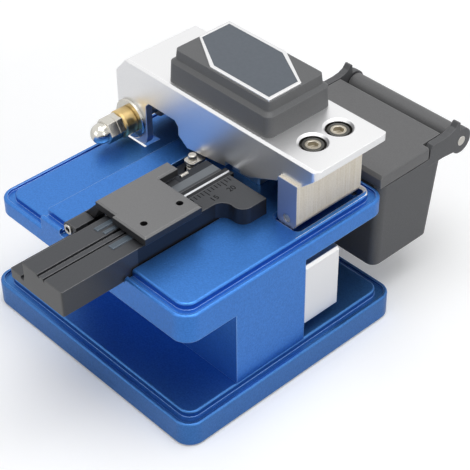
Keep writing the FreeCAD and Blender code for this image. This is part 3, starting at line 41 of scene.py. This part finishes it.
# Camera at the photograph's angle: a long lens from the front right, looking down at about 39 degrees.
AZIMUTH = math.radians(46.94)
ELEVATION = math.radians(39.22)
ROLL = math.radians(-0.47)
back = Vector((math.sin(AZIMUTH) * math.cos(ELEVATION), -math.cos(AZIMUTH) * math.cos(ELEVATION),
               math.sin(ELEVATION)))
level = Vector((math.cos(AZIMUTH), math.sin(AZIMUTH), 0))
upright = back.cross(level)
right = level * math.cos(ROLL) + upright * math.sin(ROLL)
up = upright * math.cos(ROLL) - level * math.sin(ROLL)
camera_data = bpy.data.cameras.new("camera")
camera_data.sensor_width = 36
camera_data.lens = 111.55
camera_data.clip_start = 0.01
camera = bpy.data.objects.new("camera", camera_data)
camera.matrix_world = Matrix((
    (right.x, up.x, back.x, 0.1962), (right.y, up.y, back.y, -0.1696), (right.z, up.z, back.z, 0.2326),
    (0, 0, 0, 1)))
scene.collection.objects.link(camera)
scene.camera = camera

# Soft studio light: a large panel overhead, a fill from the right and one from the front, all plain white.
for name, place, size, power in (("top_panel", (0.05, 0.05, 0.75), 0.6, 3.7),
                                 ("right_panel", (0.70, 0.10, 0.30), 0.5, 1.1),
                                 ("front_panel", (-0.15, -0.75, 0.35), 0.5, 0.9)):
    panel = bpy.data.lights.new(name, "AREA")
    panel.size = size
    panel.energy = power
    lamp = bpy.data.objects.new(name, panel)
    lamp.location = place
    lamp.rotation_euler = (Vector((0, 0, 0.03)) - Vector(place)).to_track_quat("-Z", "Y").to_euler()
    scene.collection.objects.link(lamp)

# The room: plain white for the eye and in the metal's mirror, a softer grey where it only lights.
room = bpy.data.worlds.new("room")
scene.world = room
room.use_nodes = True
tree = room.node_tree
tree.nodes.clear()
ray = tree.nodes.new("ShaderNodeLightPath")
seen = tree.nodes.new("ShaderNodeBackground")
seen.inputs["Color"].default_value = (1, 1, 1, 1)
lit = tree.nodes.new("ShaderNodeBackground")
lit.inputs["Color"].default_value = (0.95, 0.97, 1, 1)
lit.inputs["Strength"].default_value = 0.3
first = tree.nodes.new("ShaderNodeMath")
first.operation = "MAXIMUM"
second = tree.nodes.new("ShaderNodeMath")
second.operation = "MAXIMUM"
pick = tree.nodes.new("ShaderNodeMixShader")
world_out = tree.nodes.new("ShaderNodeOutputWorld")
tree.links.new(ray.outputs["Is Camera Ray"], first.inputs[0])
tree.links.new(ray.outputs["Is Glossy Ray"], first.inputs[1])
tree.links.new(first.outputs[0], second.inputs[0])
tree.links.new(ray.outputs["Is Transmission Ray"], second.inputs[1])
tree.links.new(second.outputs[0], pick.inputs[0])
tree.links.new(lit.outputs[0], pick.inputs[1])
tree.links.new(seen.outputs[0], pick.inputs[2])
tree.links.new(pick.outputs[0], world_out.inputs[0])

# The floor: a plain pale disc that fades into the white background, with the object's soft shadow on it.
bpy.ops.mesh.primitive_circle_add(vertices=64, radius=0.9, fill_type="NGON", location=(0, 0, 0))
floor = bpy.context.object
floor.name = "floor"
floor_paint = bpy.data.materials.new("floor_paint")
floor_paint.use_nodes = True
floor_paint.node_tree.nodes["Principled BSDF"].inputs["Base Color"].default_value = (0.93, 0.93, 0.93, 1)
floor_paint.node_tree.nodes["Principled BSDF"].inputs["Roughness"].default_value = 0.9
FLOOR_LIFT_NEAR = 0.16
FLOOR_LIFT_FAR = 1.0
floor_tree = floor_paint.node_tree
floor_ray = floor_tree.nodes.new("ShaderNodeLightPath")
floor_place = floor_tree.nodes.new("ShaderNodeTexCoord")
distance = floor_tree.nodes.new("ShaderNodeVectorMath")
distance.operation = "LENGTH"
fade = floor_tree.nodes.new("ShaderNodeMapRange")
fade.inputs["From Min"].default_value = 0.12
fade.inputs["From Max"].default_value = 0.60
fade.inputs["To Min"].default_value = FLOOR_LIFT_NEAR
fade.inputs["To Max"].default_value = FLOOR_LIFT_FAR
lift = floor_tree.nodes.new("ShaderNodeMath")
lift.operation = "MULTIPLY"
floor_tree.links.new(floor_place.outputs["Object"], distance.inputs[0])
floor_tree.links.new(distance.outputs["Value"], fade.inputs["Value"])
floor_tree.links.new(fade.outputs["Result"], lift.inputs[1])
floor_tree.nodes["Principled BSDF"].inputs["Emission Color"].default_value = (1, 1, 1, 1)
floor_tree.links.new(floor_ray.outputs["Is Camera Ray"], lift.inputs[0])
floor_tree.links.new(lift.outputs[0], floor_tree.nodes["Principled BSDF"].inputs["Emission Strength"])
floor.data.materials.append(floor_paint)


# Base plate: one milled aluminium slab with a raised panel, blasted and dyed deep blue in the anodising bath,
# its rounded edges given a paler blue as a painted highlight.
def grain_group():
    # Fine blasted grain: a value that varies from 0 to 1, a normal with small bumps, and a mask of the
    # rounded edges for a painted highlight.
    group = bpy.data.node_groups.new("grain", "ShaderNodeTree")
    group.interface.new_socket("Size", in_out="INPUT", socket_type="NodeSocketFloat")
    group.interface.new_socket("Height", in_out="INPUT", socket_type="NodeSocketFloat")
    group.interface.new_socket("Rounding", in_out="INPUT", socket_type="NodeSocketFloat")
    group.interface.new_socket("Value", in_out="OUTPUT", socket_type="NodeSocketFloat")
    group.interface.new_socket("Normal", in_out="OUTPUT", socket_type="NodeSocketVector")
    group.interface.new_socket("Edge", in_out="OUTPUT", socket_type="NodeSocketFloat")
    inside = group.nodes
    wires = group.links
    given = inside.new("NodeGroupInput")
    result = inside.new("NodeGroupOutput")
    place = inside.new("ShaderNodeTexCoord")
    noise = inside.new("ShaderNodeTexNoise")
    noise.inputs["Detail"].default_value = 3
    noise.inputs["Roughness"].default_value = 0.6
    bevel = inside.new("ShaderNodeBevel")
    bevel.samples = 6
    bump = inside.new("ShaderNodeBump")
    bump.inputs["Distance"].default_value = 0.0001
    geometry = inside.new("ShaderNodeNewGeometry")
    turn = inside.new("ShaderNodeVectorMath")
    turn.operation = "DOT_PRODUCT"
    mask = inside.new("ShaderNodeMapRange")
    mask.inputs["From Min"].default_value = 0.998
    mask.inputs["From Max"].default_value = 0.90
    wires.new(place.outputs["Object"], noise.inputs["Vector"])
    wires.new(given.outputs["Size"], noise.inputs["Scale"])
    wires.new(given.outputs["Rounding"], bevel.inputs["Radius"])
    wires.new(noise.outputs["Fac"], bump.inputs["Height"])
    wires.new(given.outputs["Height"], bump.inputs["Strength"])
    wires.new(bevel.outputs["Normal"], bump.inputs["Normal"])
    wires.new(bevel.outputs["Normal"], turn.inputs[0])
    wires.new(geometry.outputs["Normal"], turn.inputs[1])
    wires.new(turn.outputs["Value"], mask.inputs["Value"])
    wires.new(noise.outputs["Fac"], result.inputs["Value"])
    wires.new(bump.outputs["Normal"], result.inputs["Normal"])
    wires.new(mask.outputs["Result"], result.inputs["Edge"])
    return group


GRAIN = grain_group()


def finish_of(name, dark, light, metallic, roughness, size=4000, height=0.15, rounding=0.00025, edge_highlight=None):
    # A material whose colour varies a little between two tones, with its edges rounded and perhaps given a
    # painted highlight.
    material = bpy.data.materials.new(name)
    material.use_nodes = True
    inside = material.node_tree.nodes
    wires = material.node_tree.links
    shader = inside["Principled BSDF"]
    shader.inputs["Metallic"].default_value = metallic
    shader.inputs["Roughness"].default_value = roughness
    grain = inside.new("ShaderNodeGroup")
    grain.node_tree = GRAIN
    grain.inputs["Size"].default_value = size
    grain.inputs["Height"].default_value = height
    grain.inputs["Rounding"].default_value = rounding
    tone = inside.new("ShaderNodeMix")
    tone.data_type = "RGBA"
    tone.inputs["A"].default_value = (*dark, 1)
    tone.inputs["B"].default_value = (*light, 1)
    wires.new(grain.outputs["Value"], tone.inputs["Factor"])
    colour = tone.outputs["Result"]
    # Painted highlight: where a colour is given, the rounded edges take it.
    if edge_highlight:
        bright = inside.new("ShaderNodeMix")
        bright.data_type = "RGBA"
        bright.inputs["B"].default_value = (*edge_highlight, 1)
        wires.new(grain.outputs["Edge"], bright.inputs["Factor"])
        wires.new(colour, bright.inputs["A"])
        colour = bright.outputs["Result"]
    wires.new(colour, shader.inputs["Base Color"])
    wires.new(grain.outputs["Normal"], shader.inputs["Normal"])
    return material


def dress(material, *names):
    # The CAD nodes of these names get the material.
    for name in names:
        for place in nodes[name].material_slots:
            place.material = material


BASE_BLUE = finish_of("base_blue", (0.025, 0.105, 0.29), (0.070, 0.225, 0.58), 0.85, 0.38, 2600, 0.45,
                      edge_highlight=(0.24, 0.42, 0.74))
dress(BASE_BLUE, "base_plate")


# Main frame: the wall and deck, milled from one block of aluminium and anodised in the same blue. The slot
# for the hinge block is chamfered after the dye, so its rim is bare bright metal.
def region_group():
    # A mask that is 1 between two corners given in metres, and 0 outside them.
    group = bpy.data.node_groups.new("region", "ShaderNodeTree")
    group.interface.new_socket("Low", in_out="INPUT", socket_type="NodeSocketVector")
    group.interface.new_socket("High", in_out="INPUT", socket_type="NodeSocketVector")
    group.interface.new_socket("Mask", in_out="OUTPUT", socket_type="NodeSocketFloat")
    inside = group.nodes
    wires = group.links
    given = inside.new("NodeGroupInput")
    result = inside.new("NodeGroupOutput")
    place = inside.new("ShaderNodeTexCoord")
    above = inside.new("ShaderNodeVectorMath")
    above.operation = "SUBTRACT"
    below = inside.new("ShaderNodeVectorMath")
    below.operation = "SUBTRACT"
    nearest = inside.new("ShaderNodeVectorMath")
    nearest.operation = "MINIMUM"
    parts = inside.new("ShaderNodeSeparateXYZ")
    least = inside.new("ShaderNodeMath")
    least.operation = "MINIMUM"
    last = inside.new("ShaderNodeMath")
    last.operation = "MINIMUM"
    within = inside.new("ShaderNodeMath")
    within.operation = "GREATER_THAN"
    within.inputs[1].default_value = 0
    wires.new(place.outputs["Object"], above.inputs[0])
    wires.new(given.outputs["Low"], above.inputs[1])
    wires.new(given.outputs["High"], below.inputs[0])
    wires.new(place.outputs["Object"], below.inputs[1])
    wires.new(above.outputs["Vector"], nearest.inputs[0])
    wires.new(below.outputs["Vector"], nearest.inputs[1])
    wires.new(nearest.outputs["Vector"], parts.inputs["Vector"])
    wires.new(parts.outputs["X"], least.inputs[0])
    wires.new(parts.outputs["Y"], least.inputs[1])
    wires.new(least.outputs[0], last.inputs[0])
    wires.new(parts.outputs["Z"], last.inputs[1])
    wires.new(last.outputs[0], within.inputs[0])
    wires.new(within.outputs[0], result.inputs["Mask"])
    return group


REGION = region_group()


SLANTED = (0.70, 0.26)
UPRIGHT = (0.0, 0.45)


def recolour(material, low, high, colour, tilt=None):
    # Inside the region the material takes another colour, perhaps only on slanted or on upright faces.
    inside = material.node_tree.nodes
    wires = material.node_tree.links
    target = inside["Principled BSDF"].inputs["Base Color"]
    former = target.links[0].from_socket
    region = inside.new("ShaderNodeGroup")
    region.node_tree = REGION
    region.inputs["Low"].default_value = low
    region.inputs["High"].default_value = high
    mask = region.outputs["Mask"]
    if tilt:
        geometry = inside.new("ShaderNodeNewGeometry")
        split = inside.new("ShaderNodeSeparateXYZ")
        near = inside.new("ShaderNodeMath")
        near.operation = "COMPARE"
        near.inputs[1].default_value = tilt[0]
        near.inputs[2].default_value = tilt[1]
        both = inside.new("ShaderNodeMath")
        both.operation = "MULTIPLY"
        wires.new(geometry.outputs["True Normal"], split.inputs["Vector"])
        wires.new(split.outputs["Z"], near.inputs[0])
        wires.new(near.outputs[0], both.inputs[0])
        wires.new(mask, both.inputs[1])
        mask = both.outputs[0]
    mix = inside.new("ShaderNodeMix")
    mix.data_type = "RGBA"
    mix.inputs["B"].default_value = (*colour, 1)
    wires.new(mask, mix.inputs["Factor"])
    wires.new(former, mix.inputs["A"])
    wires.new(mix.outputs["Result"], target)


FRAME_BLUE = finish_of("frame_blue", (0.032, 0.135, 0.42), (0.070, 0.265, 0.74), 0.85, 0.36, 2600, 0.45,
                       edge_highlight=(0.28, 0.48, 0.84))
block_low, block_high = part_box("hinge_block")
RIM_REACH = 0.0026
RIM_INSET = 0.0005
RIM_FOOT = 0.0345
RIM_HEAD = 0.0356
RIM_LOW = (block_low[0] + RIM_INSET, block_low[1] - RIM_REACH, RIM_FOOT)
RIM_HIGH = (block_high[0] + RIM_REACH, block_high[1] + RIM_REACH, RIM_HEAD)
recolour(FRAME_BLUE, RIM_LOW, RIM_HIGH, (0.92, 0.93, 0.95), SLANTED)
dress(FRAME_BLUE, "main_frame")

# Rubber mat under the base, the clamps' pads and the lid's stop: matt black rubber, moulded or cut from
# sheet, and glued into their seats.
RUBBER = finish_of("black_rubber", (0.015, 0.015, 0.016), (0.03, 0.03, 0.032), 0.0, 0.85, 1500, 0.3)
dress(RUBBER, "base_mat", "clamp_plate_pad", "stop_tip", "lower_clamp_pads", "upper_pad_front",
      "upper_pad_rear")

# Guide pads in front of the clamp plate: small blocks of hard blue-grey plastic that the fibre lies between,
# pressed into the tray.
GUIDE = finish_of("guide_plastic", (0.055, 0.075, 0.095), (0.075, 0.10, 0.125), 0.0, 0.4, 3000, 0.15,
                  edge_highlight=(0.16, 0.20, 0.25))
dress(GUIDE, "guide_pads")

# Lid cover and slider: milled aluminium, finely blasted and clear anodised. The walls of the lid's two
# counterbores are in shade and nearly black.
SILVER = finish_of("silver_anodised", (0.78, 0.78, 0.79), (0.86, 0.86, 0.86), 0.95, 0.34, 6000, 0.12,
                   edge_highlight=(0.95, 0.95, 0.95))
dress(SILVER, "slider_carriage", "badge_rim")
LID_SILVER = finish_of("lid_silver", (0.78, 0.78, 0.79), (0.88, 0.88, 0.88), 0.95, 0.34, 4000, 0.2,
                       edge_highlight=(0.96, 0.96, 0.96))
screw_low, screw_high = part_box("lid_screws")
WELL_REACH = 0.0013
recolour(LID_SILVER, (screw_low[0] - WELL_REACH, screw_low[1] - WELL_REACH, screw_low[2]),
         (screw_high[0] + WELL_REACH, screw_high[1] + WELL_REACH, screw_high[2] + 0.0003),
         (0.10, 0.095, 0.085), UPRIGHT)
dress(LID_SILVER, "lid_cover")

# Hinge block: mild steel, surface ground with a fine upright lay, and pale at every angle. Its front face is
# tinted with the blue of the deck, whose reflection the photograph shows there.
HINGE_STEEL = finish_of("matt_steel", (0.62, 0.56, 0.46), (0.86, 0.80, 0.69), 0.40, 0.5, 3500, 0.3, 0.0002,
                        edge_highlight=(0.85, 0.83, 0.80))
lay_place = HINGE_STEEL.node_tree.nodes.new("ShaderNodeTexCoord")
lay_stretch = HINGE_STEEL.node_tree.nodes.new("ShaderNodeMapping")
lay_stretch.inputs["Scale"].default_value = (1, 1, 0.03)
lay = HINGE_STEEL.node_tree.nodes.new("ShaderNodeTexNoise")
lay.inputs["Scale"].default_value = 2200
lay_mix = HINGE_STEEL.node_tree.nodes.new("ShaderNodeMix")
lay_mix.data_type = "RGBA"
lay_mix.blend_type = "OVERLAY"
lay_mix.inputs["Factor"].default_value = 0.3
lay_base = HINGE_STEEL.node_tree.nodes["Principled BSDF"].inputs["Base Color"]
lay_wires = HINGE_STEEL.node_tree.links
lay_wires.new(lay_place.outputs["Object"], lay_stretch.inputs["Vector"])
lay_wires.new(lay_stretch.outputs["Vector"], lay.inputs["Vector"])
lay_wires.new(lay_base.links[0].from_socket, lay_mix.inputs["A"])
lay_wires.new(lay.outputs["Fac"], lay_mix.inputs["B"])
lay_wires.new(lay_mix.outputs["Result"], lay_base)
recolour(HINGE_STEEL, (block_low[0] - 0.001, block_low[1] - 0.001, 0.030),
         (block_high[0] + 0.0001, block_low[1] + 0.00015, block_high[2] + 0.001), (0.20, 0.27, 0.46))
dress(HINGE_STEEL, "hinge_block")

# Pins, clamps, springs, shaft and rail: stainless steel, turned or ground to size, with the marks of the
# wheel hardly seen.
STEEL = finish_of("ground_steel", (0.50, 0.48, 0.44), (0.62, 0.59, 0.54), 0.95, 0.30, 2500, 0.1, 0.0002,
                  edge_highlight=(0.8, 0.79, 0.76))
dress(STEEL, "hinge_pin", "guide_rail", "lift_pin", "lift_spring", "blade_holder", "blade_arbor",
      "clamp_hinge_pin", "anvil_shaft", "anvil_spring", "lower_clamp_front",
      "lower_clamp_rear", "upper_clamp_front", "upper_clamp_rear", "clamp_spring_front", "clamp_spring_rear",
      "bin_pin")

# Hidden screws, collars and the bin's bracket: steel, cut or bent from stock, with a black oxide skin from
# a hot bath.
OXIDE = finish_of("dark_steel", (0.03, 0.03, 0.033), (0.06, 0.06, 0.065), 0.8, 0.4, 2500, 0.1)
dress(OXIDE, "frame_screws", "rail_screws", "holder_screws", "tray_screws", "shaft_collars", "bin_screws",
      "bin_bracket")

# Lid screws: two socket heads with a dull, slightly golden plating on their tops, the rounded edge of each
# left dark. Where it starts is found from the distance to the nearer screw's axis.
TINTED = finish_of("tinted_screw", (0.44, 0.40, 0.32), (0.55, 0.50, 0.41), 0.85, 0.35, 2500, 0.1,
                   edge_highlight=(0.80, 0.77, 0.68))
TOP_RADIUS = 0.00175
HEAD_RADIUS = (screw_high[0] - screw_low[0]) / 2
screw_x = (screw_low[0] + screw_high[0]) / 2
screws_middle = (screw_low[1] + screw_high[1]) / 2
screws_apart = screw_high[1] - screws_middle - HEAD_RADIUS
skirt_nodes = TINTED.node_tree.nodes
skirt_wires = TINTED.node_tree.links
skirt_place = skirt_nodes.new("ShaderNodeTexCoord")
skirt_split = skirt_nodes.new("ShaderNodeSeparateXYZ")
steps = []
for operation, value in (("SUBTRACT", screw_x), ("SUBTRACT", screws_middle), ("ABSOLUTE", 0),
                         ("SUBTRACT", screws_apart), ("GREATER_THAN", TOP_RADIUS)):
    step = skirt_nodes.new("ShaderNodeMath")
    step.operation = operation
    step.inputs[1].default_value = value
    steps.append(step)
skirt_join = skirt_nodes.new("ShaderNodeCombineXYZ")
skirt_reach = skirt_nodes.new("ShaderNodeVectorMath")
skirt_reach.operation = "LENGTH"
skirt_mix = skirt_nodes.new("ShaderNodeMix")
skirt_mix.data_type = "RGBA"
skirt_mix.inputs["B"].default_value = (0.10, 0.098, 0.09, 1)
skirt_base = skirt_nodes["Principled BSDF"].inputs["Base Color"]
skirt_wires.new(skirt_place.outputs["Object"], skirt_split.inputs["Vector"])
skirt_wires.new(skirt_split.outputs["X"], steps[0].inputs[0])
skirt_wires.new(skirt_split.outputs["Y"], steps[1].inputs[0])
skirt_wires.new(steps[1].outputs[0], steps[2].inputs[0])
skirt_wires.new(steps[2].outputs[0], steps[3].inputs[0])
skirt_wires.new(steps[0].outputs[0], skirt_join.inputs["X"])
skirt_wires.new(steps[3].outputs[0], skirt_join.inputs["Y"])
skirt_wires.new(skirt_join.outputs["Vector"], skirt_reach.inputs[0])
skirt_wires.new(skirt_reach.outputs["Value"], steps[4].inputs[0])
skirt_wires.new(steps[4].outputs[0], skirt_mix.inputs["Factor"])
skirt_wires.new(skirt_base.links[0].from_socket, skirt_mix.inputs["A"])
skirt_wires.new(skirt_mix.outputs["Result"], skirt_base)
dress(TINTED, "lid_screws")

# Washer, nuts and magnets: steel and sintered magnet under a bright nickel plate. The washer and nuts close
# the stack on the shaft's end.
NICKEL = finish_of("nickel_plate", (0.60, 0.58, 0.53), (0.70, 0.68, 0.62), 1.0, 0.18, 900, 0.03, 0.0002)
dress(NICKEL, "large_washer", "thin_nut", "acorn_nut", "catch_magnet", "tray_magnets")

# Bush on the shaft: turned from brass bar, with a fine finish from the tool, and held by the thin nut.
# It is left bare.
BRASS = finish_of("brass", (0.62, 0.44, 0.18), (0.75, 0.56, 0.27), 1.0, 0.28, 2000, 0.08, 0.0002)
dress(BRASS, "brass_bush")

# Blade wheel and the anvil's tip: sintered carbide, lapped to a dark mirror. The wheel is held on its arbor
# and the tip is bonded to its arm.
CARBIDE = finish_of("blade_carbide", (0.35, 0.35, 0.37), (0.45, 0.45, 0.47), 1.0, 0.15, 900, 0.03, 0.0001)
dress(CARBIDE, "blade_wheel", "anvil_tip")

# Fibre tray and anvil arm: milled aluminium, satin black anodised, their rounded edges given a grey painted
# highlight.
# On the tray, painted shade darkens the field left of the groove and its sides at the rear, and painted light
# pales a strip beside the groove and its front end.
BLACK = finish_of("black_anodised", (0.050, 0.052, 0.057), (0.075, 0.077, 0.082), 0.4, 0.40, 5000, 0.15,
                  edge_highlight=(0.18, 0.18, 0.19))
dress(BLACK, "anvil_arm")
TRAY = finish_of("tray_black", (0.046, 0.048, 0.054), (0.070, 0.073, 0.079), 0.4, 0.40, 5000, 0.15,
                 edge_highlight=(0.17, 0.17, 0.18))
tray_low, tray_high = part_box("fibre_tray")
insert_low, insert_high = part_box("v_groove_insert")
tray_top = insert_high[2]
MARGIN = 0.001
SKIN = 0.0002
UNDER_TRAY = 0.030
OVER_TRAY = 0.045
SHADE_FIELD_FRONT = -0.0045
LIT_STRIP_WIDTH = 0.0023
LIT_STRIP_GAP = 0.0007
LIT_STRIP_FRONT = -0.0100
LIT_STRIP_BACK = 0.0066
SHADE_FRONT = -0.0260
LIT_FRONT_SKIN = 0.0001
lit_strip_low = insert_low[0] - LIT_STRIP_GAP - LIT_STRIP_WIDTH
# Painted shade: the field left of the paler strip, back from near the front, is almost black.
recolour(TRAY, (tray_low[0] - MARGIN, SHADE_FIELD_FRONT, UNDER_TRAY), (lit_strip_low, tray_high[1] + MARGIN, OVER_TRAY),
         (0.014, 0.017, 0.024))
# Painted highlight: a paler strip on the tray's top just left of the groove.
recolour(TRAY, (lit_strip_low, LIT_STRIP_FRONT, tray_top - SKIN),
         (lit_strip_low + LIT_STRIP_WIDTH, LIT_STRIP_BACK, tray_top + SKIN), (0.15, 0.165, 0.18))
# Painted shade: the upright sides behind the front part are almost black.
recolour(TRAY, (tray_low[0] - MARGIN, SHADE_FRONT, UNDER_TRAY),
         (tray_high[0] + MARGIN, tray_high[1] + MARGIN, OVER_TRAY), (0.020, 0.020, 0.022), UPRIGHT)
# Painted light: the front face is a paler grey.
recolour(TRAY, (tray_low[0] - MARGIN, tray_low[1] - MARGIN, UNDER_TRAY),
         (tray_high[0], tray_low[1] + LIT_FRONT_SKIN, OVER_TRAY), (0.10, 0.10, 0.10))
dress(TRAY, "fibre_tray")

# Groove insert: hardened steel with a black oxide skin, let into the tray. The ground flanks of the
# fibre's groove shine in it.
INSERT = finish_of("groove_steel", (0.014, 0.015, 0.018), (0.024, 0.025, 0.028), 0.5, 0.35, 2500, 0.1, 0.0001)
GROOVE_INSET = 0.0008
GROOVE_DEEP = 0.0012
GROOVE_LIP = 0.00005
recolour(INSERT, (insert_low[0] + GROOVE_INSET, insert_low[1] - MARGIN, tray_top - GROOVE_DEEP),
         (insert_high[0] - GROOVE_INSET, insert_high[1] + MARGIN, tray_top - GROOVE_LIP), (0.75, 0.76, 0.78),
         SLANTED)
dress(INSERT, "v_groove_insert")

# Clamp plate: milled from the same aluminium and anodised a lighter grey, with its narrow sides in shade.
# It turns on a hollow steel pin.
GREY = finish_of("grey_anodised", (0.15, 0.15, 0.152), (0.20, 0.20, 0.202), 0.4, 0.42, 5000, 0.15,
                 edge_highlight=(0.21, 0.21, 0.21))
plate_low, plate_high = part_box("clamp_plate")
recolour(GREY, (plate_low[0] - MARGIN, plate_low[1] - MARGIN, plate_low[2] - MARGIN),
         (plate_high[0] + MARGIN, plate_high[1] + MARGIN, plate_high[2] + MARGIN),
         (0.030, 0.030, 0.032), UPRIGHT)
dress(GREY, "clamp_plate")

# Grip pad: moulded in black plastic in two tiers, with the fine spark-eroded texture of its mould, and
# fixed on the lid's top.
PLASTIC = finish_of("black_plastic", (0.085, 0.087, 0.09), (0.12, 0.122, 0.125), 0.0, 0.5, 3500, 0.35, 0.0004,
                    edge_highlight=(0.16, 0.16, 0.165))
dress(PLASTIC, "grip_pad")

# Badge: a thin bare plate, dyed dark blue-grey, that lies in a bright frame on the grip pad.
# Nothing is printed on it.
PLATE = finish_of("badge_grey", (0.080, 0.096, 0.115), (0.105, 0.122, 0.148), 0.3, 0.35, 1200, 0.05)
dress(PLATE, "badge_plate")

# Scrap bin and its lid: both moulded in dark grey plastic with a fine texture, the box under the lid given a
# darker copy of the colour as painted shade.
BIN = finish_of("grey_plastic", (0.09, 0.09, 0.092), (0.14, 0.14, 0.142), 0.0, 0.5, 3000, 0.3, 0.0004,
                edge_highlight=(0.2, 0.2, 0.2))
dress(BIN, "bin_lid")
# Painted shade: the box is a darker copy of the lid's plastic, for the shade it lies in.
BIN_BOX_SHADED = finish_of("box_plastic_shaded", (0.055, 0.056, 0.060), (0.085, 0.087, 0.092), 0.0, 0.5, 3000, 0.3, 0.0004,
                edge_highlight=(0.13, 0.13, 0.135))
dress(BIN_BOX_SHADED, "bin_box")


# Scale beside the groove: fine marks a millimetre apart and plain numbers at every fifth one, printed in
# dark ink on the tray's top.
def thin_piece(name, bm, material, body):
    # A finished bmesh becomes an object that rides on a body.
    data = bpy.data.meshes.new(name)
    bm.to_mesh(data)
    bm.free()
    piece = bpy.data.objects.new(name, data)
    scene.collection.objects.link(piece)
    data.materials.append(material)
    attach(piece, body)
    return piece


INK = finish_of("scale_ink", (0.008, 0.008, 0.009), (0.014, 0.014, 0.015), 0.0, 0.9)
INK.node_tree.nodes["Principled BSDF"].inputs["Specular IOR Level"].default_value = 0.1
MARK_STEP = 0.001
MARK_COUNT = 13
MARKS_PER_NUMBER = 5
MARK_START = insert_low[1] + 0.0012
MARK_GAP = 0.0003
MARK_PROUD = 0.00002
MARK_WIDTH = 0.00022
LONG_MARK = 0.0021
SHORT_MARK = 0.0013
NUMBER_SIZE = 0.0021
NUMBER_GAP = 0.0045
marks = bmesh.new()
for i in range(MARK_COUNT):
    y = MARK_START + i * MARK_STEP
    length = LONG_MARK if i % MARKS_PER_NUMBER == 0 else SHORT_MARK
    x0 = insert_high[0] + MARK_GAP
    cell = bmesh.ops.create_cube(marks, size=1)
    bmesh.ops.scale(marks, verts=cell["verts"], vec=(length, MARK_WIDTH, MARK_PROUD * 2))
    bmesh.ops.translate(marks, verts=cell["verts"], vec=(x0 + length / 2, y, tray_top))
thin_piece("scale_marks", marks, INK, "frame")
for i, word in enumerate(("10", "15", "20")):
    letters = bpy.data.curves.new("letters_" + word, "FONT")
    letters.body = word
    letters.size = NUMBER_SIZE
    letters.extrude = 0.00001
    letters.align_x = "CENTER"
    drawn = bpy.data.objects.new("letters_" + word, letters)
    scene.collection.objects.link(drawn)
    bpy.context.view_layer.update()
    flat = bpy.data.meshes.new_from_object(drawn.evaluated_get(bpy.context.evaluated_depsgraph_get()))
    bpy.data.objects.remove(drawn)
    turn = Matrix.Rotation(math.radians(90), 4, "Z")
    y = MARK_START + i * MARKS_PER_NUMBER * MARK_STEP
    shift = Matrix.Translation((insert_high[0] + NUMBER_GAP, y, tray_top + MARK_PROUD))
    flat.transform(shift @ turn)
    flat.materials.clear()
    flat.materials.append(INK)
    number = bpy.data.objects.new("scale_number_" + word, flat)
    scene.collection.objects.link(number)
    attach(number, "frame")


# Dowel beside the groove: a short ground steel pin that lies half sunk in the tray's top. What it does on the
# real tool isn't known.
DOWEL_R = 0.00045
DOWEL_LENGTH = 0.0021
DOWEL_X = 0.00046
DOWEL_Y = -0.0030
dowel = bmesh.new()
bmesh.ops.create_cone(dowel, cap_ends=True, segments=24, radius1=DOWEL_R, radius2=DOWEL_R, depth=DOWEL_LENGTH)
bmesh.ops.rotate(dowel, verts=dowel.verts, matrix=Matrix.Rotation(math.radians(90), 3, "X"))
bmesh.ops.translate(dowel, verts=dowel.verts, vec=(DOWEL_X, DOWEL_Y + DOWEL_LENGTH / 2, tray_top))
thin_piece("tray_dowel", dowel, STEEL, "frame")
